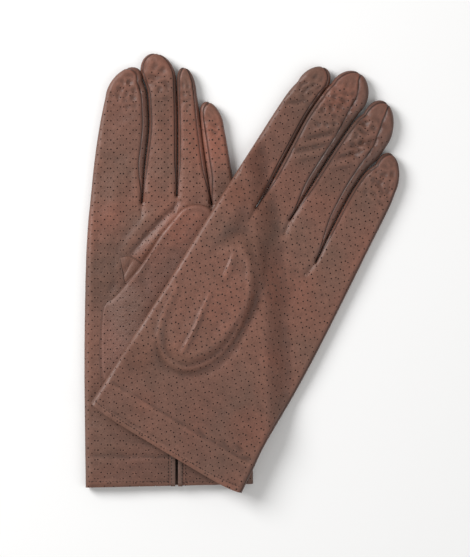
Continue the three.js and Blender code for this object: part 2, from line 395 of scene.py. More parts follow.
def blank_material(name: str) -> tuple[bpy.types.Material, Nodes]:
    """A new material and its empty tree.

    Args:
        name: The material's name.

    Returns:
        The material and its nodes.
    """
    material = bpy.data.materials.new(name)
    material.use_nodes = True
    material.node_tree.nodes.clear()
    return material, Nodes(material.node_tree)


def rgb(red: int, green: int, blue: int) -> tuple[float, float, float, float]:
    """A colour from its 8-bit values, as the shaders take it.

    Args:
        red: Red, 0 to 255.
        green: Green.
        blue: Blue.

    Returns:
        The linear colour, with an alpha of 1.
    """

    def linear(value: float) -> float:
        """One channel."""
        x = value / 255.0
        return x / 12.92 if x <= 0.04045 else ((x + 0.055) / 1.055) ** 2.4

    return linear(red), linear(green), linear(blue), 1.0


class HideGroups:
    """The shader node groups that the leathers share: dyed colour with painted shade and highlight, and
    grain.
    """

    def __init__(self) -> None:
        """Builds both groups once."""
        self.dye_and_light = self.build_dye_and_light()
        self.grain = self.build_grain()

    def build_dye_and_light(self) -> bpy.types.NodeTree:
        """Uneven dyeing: broad cool and warm clouds and small flecks, with painted shade darker in seams and
        grooves and painted highlight lighter on ridges.

        Returns:
            The group.
        """
        colour, number = "NodeSocketColor", "NodeSocketFloat"
        n = group_tree(
            "Uneven Dye And Painted Light",
            "ShaderNodeTree",
            {
                "Vector": ("NodeSocketVector", None),
                "Base": (colour, (0.2, 0.1, 0.08, 1)),
                "Cool": (colour, (0.15, 0.1, 0.08, 1)),
                "Warm": (colour, (0.3, 0.12, 0.08, 1)),
                "Warmth": (number, 0.0),
                "Painted Light": (number, 0.0),
                "Unevenness": (number, 0.5),
            },
            {"Colour": colour, "Fleck": number},
        )
        g = n.add("NodeGroupInput").outputs
        clouds = n.band(n.noise(g["Vector"], 34.0, 3.0), 0.35, 0.66)
        warm = n.band(n.noise(g["Vector"], 21.0, 2.0), 0.42, 0.68)
        fleck = n.noise(g["Vector"], 900.0, 3.0, 0.7)
        base = n.mix(n.math("MULTIPLY", clouds, g["Unevenness"]), g["Base"], g["Cool"])
        push = n.math("ADD", n.math("MULTIPLY", warm, 0.30), g["Warmth"])
        push = n.math("MINIMUM", n.math("MAXIMUM", push, 0.0), 1.0)
        base = n.mix(push, base, g["Warm"])
        mottle = n.noise(g["Vector"], 330.0, 3.0, 0.6)
        shade = n.math("MULTIPLY_ADD", n.math("SUBTRACT", fleck, 0.5), 0.60, 1.0)
        shade = n.math("MULTIPLY_ADD", n.math("SUBTRACT", mottle, 0.5), 0.42, shade)
        # Painted light: this input darkens the colour as painted shade, and lightens it as painted highlight
        # where it is below 0.
        shade = n.math("MULTIPLY", shade, n.math("MULTIPLY_ADD", g["Painted Light"], -0.62, 1.0))
        mixed = n.mix(1.0, base, n.math("MAXIMUM", shade, 0.12), "MULTIPLY")
        n.wire("NodeGroupOutput", {"Colour": mixed, "Fleck": fleck})
        return n.tree

    def build_grain(self) -> bpy.types.NodeTree:
        """Fine pebbled grain, with small wrinkles between.

        Returns:
            The group.
        """
        number = "NodeSocketFloat"
        n = group_tree(
            "Leather Grain",
            "ShaderNodeTree",
            {"Vector": ("NodeSocketVector", None), "Pebble Scale": (number, 1800.0)},
            {"Height": number, "Polish": number},
        )
        g = n.add("NodeGroupInput").outputs
        warp = n.wire("ShaderNodeTexNoise", {"Vector": g["Vector"], "Scale": 420.0}, noise_dimensions="3D")
        feeds = {0: warp.outputs["Color"], 1: (0.0006, 0.0006, 0.0006), 2: g["Vector"]}
        moved = n.wire("ShaderNodeVectorMath", feeds, operation="MULTIPLY_ADD")
        feeds = {"Vector": moved, "Scale": g["Pebble Scale"]}
        cells = n.wire("ShaderNodeTexVoronoi", feeds, feature="SMOOTH_F1")
        wrinkle = n.noise(g["Vector"], 260.0, 5.0, 0.6)
        height = n.math("MULTIPLY_ADD", cells.outputs["Distance"], -0.5, 0.5)
        height = n.math("ADD", height, n.math("MULTIPLY", wrinkle, 1.3))
        n.wire("NodeGroupOutput", {"Height": height, "Polish": n.noise(g["Vector"], 55.0, 3.0)})
        return n.tree


@dataclass(frozen=True)
class Leather:
    """A dyed leather: satin, finely grained, a little uneven in colour."""

    name: str
    base: tuple[int, int, int]
    cool: tuple[int, int, int]
    warm: tuple[int, int, int]
    roughness: float = 0.5
    bump: float = 0.5

    def build(self, groups: HideGroups) -> bpy.types.Material:
        """The material, on Object coordinates.

        Args:
            groups: The shared shader groups.

        Returns:
            The material.
        """
        material, n = blank_material(self.name)
        place = n.add("ShaderNodeTexCoord").outputs["Object"]
        feeds = {
            "Vector": place,
            "Base": rgb(*self.base),
            "Cool": rgb(*self.cool),
            "Warm": rgb(*self.warm),
            "Warmth": n.attribute("warmth"),
            # Painted shade and painted highlight, carried on the mesh.
            "Painted Light": n.attribute("painted_light"),
        }
        dye_and_light = n.wire("ShaderNodeGroup", feeds, node_tree=groups.dye_and_light)
        grain = n.wire("ShaderNodeGroup", {"Vector": place}, node_tree=groups.grain)
        feeds = {"Strength": self.bump, "Distance": 0.00035, "Height": grain.outputs["Height"]}
        bump = n.wire("ShaderNodeBump", feeds)
        polish = n.math("SUBTRACT", grain.outputs["Polish"], 0.5)
        feeds = {
            "Base Color": dye_and_light.outputs["Colour"],
            "Roughness": n.math("MULTIPLY_ADD", polish, 0.3, self.roughness),
            "Specular IOR Level": 0.42,
            "Normal": bump,
        }
        shader = n.wire("ShaderNodeBsdfPrincipled", feeds)
        n.wire("ShaderNodeOutputMaterial", {"Surface": shader})
        return material


@dataclass(frozen=True)
class Plain:
    """A small dark material: painted shade inside a punched hole, a thread, or a woven tape."""

    name: str
    colour: tuple[int, int, int]
    roughness: float = 0.85
    weave: float = 0.0

    def build(self) -> bpy.types.Material:
        """The material, with a fine fleck or a weave.

        Returns:
            The material.
        """
        material, n = blank_material(self.name)
        place = n.add("ShaderNodeTexCoord").outputs["Object"]
        low = rgb(*(int(c * 0.7) for c in self.colour))
        colour = n.mix(n.noise(place, 2500.0, 2.0), rgb(*self.colour), low)
        shader = n.wire("ShaderNodeBsdfPrincipled", {"Base Color": colour, "Roughness": self.roughness})
        if self.weave:
            feeds = {"Vector": place, "Scale": self.weave}
            wave = n.wire("ShaderNodeTexWave", feeds, wave_type="BANDS", bands_direction="X")
            feeds = {"Strength": 0.5, "Distance": 0.0003, "Height": wave.outputs["Fac"]}
            n.put(shader.inputs["Normal"], n.wire("ShaderNodeBump", feeds))
        n.wire("ShaderNodeOutputMaterial", {"Surface": shader})
        return material


class Finishes:
    """Every material of the pair."""

    def __init__(self) -> None:
        """Builds the shared groups, then each finish."""
        groups = HideGroups()
        brown, cool, warm = (114, 78, 65), (97, 73, 61), (136, 82, 65)
        self.trank = Leather("glove_leather_satin", brown, cool, warm).build(groups)
        self.thumb = Leather("thumb_leather_satin", (116, 79, 67), cool, warm).build(groups)
        self.fourchette = Leather("fourchette_leather_satin", (104, 73, 62), cool, warm).build(groups)
        self.seam = Leather("seam_leather_dull", (92, 64, 55), cool, (112, 72, 60), 0.58).build(groups)
        self.trim = Leather("trim_leather_dull", (100, 74, 64), cool, (122, 82, 68), 0.52).build(groups)
        # Painted shade: the dark colour inside each punched pit stands for the shade that falls in it.
        self.hole = Plain("punched_hole_shade", (60, 34, 30)).build()
        self.thread = Plain("sewing_thread_brown", (58, 38, 32), 0.7).build()
        self.tape = Plain("elastic_tape_woven", (54, 42, 36), 0.8, 1400.0).build()


# ---------------------------------------------------------------- sheets of leather


class Ring:
    """One cross-section of a flattened leather tube, from its left edge round to its right."""

    def __init__(self, centre: np.ndarray, across: np.ndarray, reach: float, tilt: float) -> None:
        """Measures the section.

        Args:
            centre: Middle of the section in the flat frame.
            across: From the middle to the right edge.
            reach: Half width of the tube before its tip.
            tilt: How far the section is round the tip, in radians, 0 along the straight part.
        """
        self.centre, self.across = centre, across
        self.a = np.sin(np.linspace(-math.pi / 2, math.pi / 2, 121))
        slope, rise = math.cos(tilt), math.sin(tilt)
        self.depth = (1.0 - np.sqrt((self.a * slope) ** 2 + rise**2)) * reach
        step_x = np.diff(self.a * float(np.hypot(*across)))
        step_z = np.diff(HALF_HEIGHT * dome(self.depth))
        self.arc = np.concatenate([[0.0], np.cumsum(np.hypot(step_x, step_z))])
        self.total = float(self.arc[-1])

    def arc_at(self, a: float) -> float:
        """Distance over the top from the left edge to a share of the half width."""
        return float(np.interp(a, self.a, self.arc))

    def around(self, arc: np.ndarray) -> tuple[np.ndarray, np.ndarray, np.ndarray]:
        """Points round the tube: over the top from 0 to total, underneath below 0 or past it.

        Args:
            arc: Distances round the tube.

        Returns:
            The points, their distance in from the outline, and 1 on top or -1 underneath.
        """
        wrapped = (arc + self.total) % (2 * self.total) - self.total
        side = np.where(wrapped >= 0, 1.0, -1.0)
        a = np.interp(np.abs(wrapped), self.arc, self.a)
        depth = np.maximum(np.interp(a, self.a, self.depth), 0.0)
        return self.centre + a[:, None] * self.across, depth, side


def spread(start: float, end: float, count: int) -> np.ndarray:
    """Distances from start to end, close together next to both.

    Args:
        start: First distance.
        end: Last distance.
        count: Evenly spaced ones between.

    Returns:
        All the distances, in order.
    """
    fine = np.array(FINE_COLUMNS) * min(1.0, (end - start) / 4.0)
    middle = np.linspace(start + fine[-1], end - fine[-1], count)
    return np.concatenate([start + fine[:-1], middle, end - fine[:-1][::-1]])


@dataclass
class Patch:
    """A grid of points on a glove's flat frame that becomes one sheet of leather."""

    flat: np.ndarray  # rows, columns, (u, v)
    depth: np.ndarray  # in from the outline
    side: np.ndarray  # 1 on top, -1 underneath
    from_start: np.ndarray  # from the first column's border
    from_end: np.ndarray
    tip_from: float = 1e9  # row from which nothing is punched
    last_row: np.ndarray | None = None
    room: np.ndarray | None = None  # half height of the hollow at each point
    points: np.ndarray = field(default_factory=lambda: np.zeros(0))
    normals: np.ndarray = field(default_factory=lambda: np.zeros(0))


def standing(points: np.ndarray, normals: np.ndarray) -> np.ndarray:
    """How far each point of a grid stands out from the mean of those round it, in millimetres.

    Args:
        points: Rows, columns, xyz in millimetres.
        normals: Its unit normals.

    Returns:
        Above 0 on a ridge, below 0 in a groove.
    """
    padded = np.pad(points, ((2, 2), (2, 2), (0, 0)), mode="edge")
    rows, cols = points.shape[:2]
    mean = sum(padded[r : r + rows, c : c + cols] for r in range(5) for c in range(5)) / 25.0
    return np.einsum("ijk,ijk->ij", points - mean, normals)


def grid_normals(points: np.ndarray) -> np.ndarray:
    """Unit normals of a grid of points, outwards.

    Args:
        points: Rows, columns, xyz.

    Returns:
        One normal for each point.
    """
    across = np.gradient(points, axis=1)
    along = np.gradient(points, axis=0)
    normal = np.cross(across, along)
    return normal / np.maximum(np.linalg.norm(normal, axis=2, keepdims=True), 1e-9)


@dataclass(frozen=True)
class Finger:
    """A finger: its two borders from the crotch to the shoulder of the tip, and its tip."""

    body: Body
    left: tuple[Point, ...]
    right: tuple[Point, ...]
    tip: Point
    show_left: tuple[float, float, float] = (0.15, 1.3, 1.3)
    show_right: tuple[float, float, float] = (0.15, 1.3, 1.3)
    bare_tip: float = 0.86  # share of its length past which nothing is punched

    def rings(self) -> list[tuple[Ring, float]]:
        """The finger's sections from root to tip, each with its share of the length.

        Returns:
            Pairs of a section and its share.
        """
        left, right = Track(self.left), Track(self.right)
        count = round(max(left.length(), right.length()) / ROW)
        shares = np.linspace(0, 1, count)
        lefts, rights = left.at(shares), right.at(shares)
        made = []
        for k, share in enumerate(shares):
            half = (rights[k] - lefts[k]) / 2
            ring = Ring((lefts[k] + rights[k]) / 2, half, float(np.hypot(*half)), 0.0)
            made.append((ring, STRAIGHT_SHARE * share))
        half = (rights[-1] - lefts[-1]) / 2
        centre = (lefts[-1] + rights[-1]) / 2
        forward = np.array(self.tip) - centre
        for tilt in np.radians(np.linspace(0, 88.4, 16)[1:]):
            middle = centre + forward * math.sin(tilt)
            ring = Ring(middle, half * math.cos(tilt), float(np.hypot(*half)), float(tilt))
            made.append((ring, STRAIGHT_SHARE + (1.0 - STRAIGHT_SHARE) * math.sin(tilt)))
        return made

    def show(self, widths: tuple[float, float, float], share: float) -> float:
        """Width of the fourchette that shows on top, at a share of the length.

        Args:
            widths: Its width at the root, in the middle and at the tip.
            share: Where.

        Returns:
            The width, in millimetres.
        """
        root, middle, tip = widths
        t = np.array(share)
        low = root + (middle - root) * float(ramp(t, 0.0, 0.3))
        return low + (tip - middle) * float(ramp(t, 0.55, 0.95))

    def seams(self, ring: Ring, share: float) -> tuple[float, float]:
        """Distances round the section to its left and its right top seam.

        Args:
            ring: The section.
            share: Its share of the finger's length.

        Returns:
            Both distances.
        """
        reach = max(float(np.hypot(*ring.across)), 4.0)
        a_left = min(self.show(self.show_left, share) / reach, 0.85)
        a_right = min(self.show(self.show_right, share) / reach, 0.85)
        return ring.arc_at(-1 + a_left), ring.arc_at(1 - a_right)


class Piece(Enum):
    """The sheets that a finger is sewn from."""

    TOP = "top"
    UNDER = "under"
    WRAP = "wrap"
    FOURCHETTE_INDEX = "fourchette_index"
    FOURCHETTE_LITTLE = "fourchette_little"


FOURCHETTES = (Piece.FOURCHETTE_INDEX, Piece.FOURCHETTE_LITTLE)


def span(finger: Finger, piece: Piece, ring: Ring, share: float, side_seam: float) -> tuple[float, float]:
    """Where a sheet starts and ends round a section of a finger.

    Args:
        finger: The finger.
        piece: Which sheet.
        ring: The section.
        share: Its share of the finger's length.
        side_seam: How far in the side seam is, on top, or underneath where it is below 0.

    Returns:
        Distances round the section.
    """
    top_left, top_right = finger.seams(ring, share)
    under = min(UNDER_SEAM * min(1.0, 0.15 + 3.0 * share), 0.2 * ring.total)
    total = ring.total
    seam = total - math.copysign(min(abs(side_seam), 0.3 * total), side_seam)
    if piece is Piece.FOURCHETTE_INDEX:
        return -under, top_left
    if piece is Piece.FOURCHETTE_LITTLE:
        return top_right, total + under
    if finger.body is Body.INDEX:
        return -total + under, top_right
    if finger.body is Body.LITTLE:
        return (top_left, seam) if piece is Piece.TOP else (seam, 2 * total - under)
    return (top_left, top_right) if piece is Piece.TOP else (-total + under, -under)


def finger_patch(finger: Finger, piece: Piece, side_seam: float) -> Patch:
    """The grid of one sheet of a finger.

    Args:
        finger: The finger.
        piece: Which sheet.
        side_seam: How far in the side seam is, as span takes it.

    Returns:
        The grid, not yet placed.
    """
    rings = finger.rings()
    start, end = span(finger, piece, rings[len(rings) // 3][0], 0.35, side_seam)
    count = max(3, round((end - start) / COLUMN))
    rows = []
    for ring, share in rings:
        start, end = span(finger, piece, ring, share, side_seam)
        arc = spread(start, end, count)
        flat, depth, face = ring.around(arc)
        if piece in FOURCHETTES:
            widths = finger.show_left if piece is Piece.FOURCHETTE_INDEX else finger.show_right
            slope = min(1.0, EDGE_ROUND / finger.show(widths, share))
            slope = 1.0 - (1.0 - slope) * float(1.0 - ramp(np.array(share), 0.68, 0.85))
            depth = np.where(face > 0, depth * slope, depth)
        rows.append((flat, depth, face, arc - start, end - arc))
    flat, depth, side, low, high = (np.stack(part) for part in zip(*rows))
    bare = sum(1 for _, share in rings if share < finger.bare_tip)
    return Patch(flat, depth, side, low, high, tip_from=bare)


@dataclass(frozen=True)
class Crumple:
    """A patch of small sharp wrinkles."""

    centre: Point
    radius: float
    height: float
    wavelength: float
    seed: int

    def lift(self, u: np.ndarray, v: np.ndarray) -> np.ndarray:
        """Height that the wrinkles add.

        Args:
            u: Across.
            v: Along.

        Returns:
            The height, in millimetres.
        """
        away = np.hypot(u - self.centre[0], v - self.centre[1]) / self.radius
        mask = 1.0 - ramp(away, 0.35, 1.0)
        ridge = 0.45 - np.abs(ripple(u, v, self.wavelength, self.seed))
        return self.height * mask * ridge


@dataclass(frozen=True)
class Glove:
    """One glove: how it lies, its outline, and the folds that wearing has left in it."""

    name: str
    palm_up: bool
    lay: Lay
    index_side: tuple[Point, ...]
    little_side: tuple[Point, ...]
    crotches: tuple[Point, ...]
    fingers: tuple[Finger, ...]
    side_seam: float
    cuff_sag: float
    folds: tuple[Crease | Rim, ...]
    crumples: tuple[Crumple, ...]
    vent: float
    warm_spots: tuple[tuple[Point, float, float], ...]
    # Spots of painted shade where less light falls: centre, radius, amount.
    painted_shade_spots: tuple[tuple[Point, float, float], ...]
    lattice: Point
    seed: int

    def relief(self, u: np.ndarray, v: np.ndarray, side: np.ndarray) -> np.ndarray:
        """Height of the folds and of the leather's own unevenness.

        Args:
            u: Across.
            v: Along.
            side: 1 on top, -1 underneath.

        Returns:
            The height, in millimetres.
        """
        lift = 0.22 * ripple(u, v, 24.0, self.seed) + 0.10 * ripple(u, v, 9.0, self.seed + 1)
        lift += 0.03 * ripple(u, v, 3.5, self.seed + 2)
        for fold in (*self.folds, *self.crumples):
            lift += fold.lift(u, v)
        under = 0.15 * ripple(u, v, 20.0, self.seed + 3)
        lift = np.where(side > 0, lift, under)
        hem = 0.28 * (1.0 - ramp(v, HEM_TOP - 0.5, HEM_TOP + 0.4))
        hem -= 0.16 * np.exp(-(((v - HEM_TOP - 0.8) / 0.7) ** 2))
        hem -= 0.22 * np.exp(-(((v - HEM_STITCH) / 0.5) ** 2))
        return lift + hem

    def place(self, patch: Patch) -> Patch:
        """Works out where a patch's points are in space, with its sewn borders drawn in.

        Args:
            patch: The grid.

        Returns:
            The same patch, with points and normals in millimetres.
        """
        u, v = patch.flat[..., 0], patch.flat[..., 1]
        x, y = self.lay.on_table(u, v)
        middle = self.lay.underside(u, v) + GLOVE_LEVEL
        height, lift = self.profile(u, v, patch.depth, patch.side)
        z = middle + patch.side * (height + lift)
        z = np.where(patch.side < 0, np.maximum(z, self.lay.underside(u, v) + TABLE_CLEAR), z)
        points = np.stack([x, y, z], -1)
        normals = grid_normals(points)
        near = np.minimum(patch.from_start, patch.from_end)
        points = points - normals * (SEAM_SINK * np.exp(-((near / SEAM_SINK) ** 2)))[..., None]
        if patch.last_row is not None:
            points[-1] = patch.last_row
        patch.points, patch.normals = points, grid_normals(points)
        return patch

    @property
    def palm_side(self) -> float:
        """1 where the palm is on top, -1 where it is underneath."""
        return 1.0 if self.palm_up else -1.0

    def level(self, u: float, v: float) -> float:
        """Height of the middle of the glove at a point of its flat frame."""
        return float(self.lay.underside(np.array(u), np.array(v))) + GLOVE_LEVEL

    def on_surface(self, u: np.ndarray, v: np.ndarray, side: float, above: object) -> np.ndarray:
        """Points on the hand's leather, or a little above it.

        Args:
            u: Across.
            v: Along.
            side: 1 on top, -1 underneath.
            above: Distance out from the leather.

        Returns:
            The points in space.
        """
        u, v = np.asarray(u, float), np.asarray(v, float)
        depth = np.full(u.shape, 99.0)
        for line in (self.index_side, self.little_side):
            dense = Track(line).dense()
            gap = np.hypot(u[..., None] - dense[:, 0], v[..., None] - dense[:, 1])
            depth = np.minimum(depth, gap.min(-1))
        x, y = self.lay.on_table(u, v)
        height, lift = self.profile(u, v, depth, np.full(u.shape, side))
        z = self.lay.underside(u, v) + GLOVE_LEVEL + side * (height + lift + above)
        z = np.maximum(z, self.lay.underside(u, v) + THREAD_CLEAR)
        return np.stack([x, y, z], -1)

    def profile(
        self, u: np.ndarray, v: np.ndarray, depth: np.ndarray, side: np.ndarray
    ) -> tuple[np.ndarray, np.ndarray]:
        """Half height of the glove and its relief, at points of its flat frame.

        Args:
            u: Across.
            v: Along.
            depth: Distance in from the outline.
            side: 1 on top, -1 underneath.

        Returns:
            The half height and the relief.
        """
        fade = ramp(depth, 0.0, 3.0)
        cuff = 0.9 * (1.0 - ramp(v, -self.cuff_sag, -self.cuff_sag + 1.6))
        height = np.maximum(HALF_HEIGHT * dome(depth) - cuff * fade, 0.0)
        return height, self.relief(u, v, side) * fade

    def hand_patch(self, roots: list[Patch]) -> Patch:
        """The hand's leather, from its side seam round under, over the fold and back on top.

        Args:
            roots: The fingers' own sheets, in the order in which the hand meets them.

        Returns:
            Its grid, whose last row is the first rows of those sheets.
        """
        flat_top = np.vstack([p.flat[0] for p in roots])
        side_top = np.concatenate([p.side[0] for p in roots])
        world_top = np.vstack([p.points[0] for p in roots])
        wrap = np.arange(len(side_top)) < len(roots[0].side[0])
        left, right = Track(self.index_side), Track(self.little_side)
        rows = round(left.length() / ROW)
        shares = np.linspace(0, 1, rows)
        lefts, rights = left.at(shares), right.at(shares)
        chord = rights[-1] - lefts[-1]
        share_top = ((flat_top - lefts[-1]) @ chord) / float(chord @ chord)
        offset = flat_top - (lefts[-1] + share_top[:, None] * chord)
        last = Ring((lefts[-1] + rights[-1]) / 2, chord / 2, float(np.hypot(*chord)) / 2, 0.0)
        arc_top = np.array([last.arc_at(2 * s - 1) for s in np.clip(share_top, 0, 1)]) * side_top
        arc_top = np.where(wrap & (side_top > 0), arc_top - 2 * last.total, arc_top)
        over = np.arange(len(side_top)) >= len(side_top) - len(roots[-1].side[0])
        arc_top = np.where(over & (side_top < 0), arc_top + 2 * last.total, arc_top)
        made = []
        for k, share in enumerate(shares):
            half = (rights[k] - lefts[k]) / 2
            ring = Ring((lefts[k] + rights[k]) / 2, half, float(np.hypot(*half)), 0.0)
            count = len(arc_top) - 2 * (len(FINE_COLUMNS) - 1)
            even = spread(-ring.total - self.side_seam, ring.total - self.side_seam, count)
            pull = float(ramp(np.array(share), 0.30, 1.0))
            arc = (1 - pull) * even + pull * arc_top * (ring.total / last.total)
            flat, depth, side = ring.around(arc)
            flat = flat + pull * offset
            sag = self.cuff_sag * (1.0 - share) ** 6
            a = np.clip(1.0 - depth / float(np.hypot(*half)), 0.0, 1.0)
            flat[:, 1] -= sag * (1.0 - a**6)
            for crotch in self.crotches:
                gap = np.hypot(flat[:, 0] - crotch[0], flat[:, 1] - crotch[1])
                depth = np.minimum(depth, gap)
            made.append((flat, depth, side, arc - even[0], even[-1] - arc))
        flat, depth, side, low, high = (np.stack(part) for part in zip(*made))
        return Patch(flat, depth, side, low, high, last_row=world_top)


class SheetMaker:
    """Turns patches into leather with a thickness, and punches it."""

    def __init__(self, finishes: Finishes) -> None:
        """Takes the finishes and builds the tree that punches holes."""
        self.finishes = finishes
        self.press = PunchPress(finishes.hole)

    def leather(
        self, name: str, glove: Glove, patch: Patch, material: bpy.types.Material
    ) -> bpy.types.Object:
        """A closed sheet with rounded edges, dyed darker where it is sewn.

        Args:
            A closed sheet with rounded edges, with painted shade darker where it is sewn, at its outline and
            in grooves, and painted highlight lighter on ridges.
            glove: The glove it belongs to.
            patch: Its placed grid.
            material: Its leather.

        Returns:
            The object, at the origin.
        """
        points, normals = patch.points, patch.normals
        rows, cols = points.shape[:2]
        room = HALF_HEIGHT * dome(patch.depth) if patch.room is None else patch.room
        thick = np.minimum(LEATHER, 0.6 * room + 0.12)
        inner = points - normals * thick[..., None]
        corners = np.concatenate([points.reshape(-1, 3), inner.reshape(-1, 3)]) * MM
        index = np.arange(rows * cols).reshape(rows, cols)
        quads = np.stack([index[:-1, :-1], index[:-1, 1:], index[1:, 1:], index[1:, :-1]], -1).reshape(-1, 4)
        count = rows * cols
        faces = [quads, quads[:, ::-1] + count]
        loop = np.concatenate([index[0, :], index[1:, -1], index[-1, -2::-1], index[-2:0:-1, 0]])
        nxt = np.roll(loop, -1)
        faces.append(np.stack([nxt, loop, loop + count, nxt + count], -1))
        mesh = bpy.data.meshes.new(name)
        mesh.from_pydata(corners.tolist(), [], np.concatenate(faces).tolist())
        u, v = patch.flat[..., 0], patch.flat[..., 1]
        near = np.minimum(patch.from_start, patch.from_end)
        row = np.arange(rows)[:, None] + np.zeros((1, cols))
        margin = np.where(row < patch.tip_from, near, 0.0)
        margin = np.where(row > 0, margin, 3.0)
        warmth = 0.10 * ripple(u, v, 30.0, glove.seed + 7)
        for centre, radius, amount in glove.warm_spots:
            away = np.hypot(u - centre[0], v - centre[1]) / radius
            warmth = warmth + amount * (1.0 - ramp(away, 0.2, 1.0))
        warmth = warmth + 0.55 * np.exp(-(((near - 1.0) / 0.5) ** 2))
        # Painted shade: darker right at the sewn borders and where the leather rounds down at its outline.
        painted_light = np.exp(-((near / 0.6) ** 2)) + 0.45 * np.exp(-((patch.depth / 0.7) ** 2))
        # Painted light from the relief: painted shade in grooves, painted highlight on ridges.
        stands = standing(points, normals) * ramp(patch.depth, 1.8, 3.6) * ramp(near, 1.2, 2.4)
        painted_light = painted_light + np.clip(-2.0 * stands, 0.0, 0.45) - np.clip(1.7 * stands, 0.0, 0.3)
        # Painted shade over broad areas where less light falls.
        for centre, radius, amount in glove.painted_shade_spots:
            away = np.hypot(u - centre[0], v - centre[1]) / radius
            painted_light = painted_light + amount * (1.0 - ramp(away, 0.2, 1.0))
        for label, values in (("margin", margin), ("warmth", warmth), ("painted_light", np.minimum(painted_light, 1))):
            layer = mesh.attributes.new(label, "FLOAT", "POINT")
            layer.data.foreach_set("value", np.tile(values.ravel(), 2).astype(np.float32))
        mesh.materials.append(material)
        return finish_mesh(name, mesh)

    def punch(self, sheet: bpy.types.Object, glove: Glove) -> None:
        """Punches the glove's lattice of holes into both layers of a sheet.

        Args:
            sheet: The leather.
            glove: The glove whose lattice it takes.
        """
        x, y = glove.lay.on_table(np.array(glove.lattice[0]), np.array(glove.lattice[1]))
        for above in (True, False):
            self.press.apply(sheet, (float(x), float(y)), glove.lay.turn, above, glove.seed)


def smooth(mesh: bpy.types.Mesh) -> None:
    """Shades a mesh smooth except at its sharp edges."""
    mesh.shade_smooth()
    mesh.set_sharp_from_angle(angle=SMOOTH_ANGLE)


def in_scene(name: str, data: bpy.types.ID) -> bpy.types.Object:
    """Puts a mesh, a light or a camera in the scene.

    Args:
        name: The object's name.
        data: What it shows.

    Returns:
        The object, at the origin.
    """
    made = bpy.data.objects.new(name, data)
    bpy.context.scene.collection.objects.link(made)
    return made


def finish_mesh(name: str, mesh: bpy.types.Mesh) -> bpy.types.Object:
    """Puts a mesh in the scene, smooth except at its sharp edges.

    Args:
        name: The piece's name.
        mesh: Its mesh, in metres.

    Returns:
        The object, at the origin.
    """
    mesh.validate()
    smooth(mesh)
    return in_scene(name, mesh)


def set_inputs(modifier: bpy.types.Modifier, values: dict[str, object]) -> None:
    """Gives a Geometry Nodes modifier its named inputs.

    Args:
        modifier: The modifier.
        values: Input name to value.
    """
    for item in modifier.node_group.interface.items_tree:
        if item.item_type == "SOCKET" and item.in_out == "INPUT" and item.name in values:
            modifier[item.identifier] = values[item.name]


def settle(made: bpy.types.Object) -> bpy.types.Object:
    """Turns an object with Geometry Nodes into its own plain mesh.

    Args:
        made: The object, with its modifiers.

    Returns:
        The same object, with a plain mesh.
    """
    graph = bpy.context.evaluated_depsgraph_get()
    mesh = bpy.data.meshes.new_from_object(made.evaluated_get(graph))
    made.modifiers.clear()
    made.data = mesh
    return made


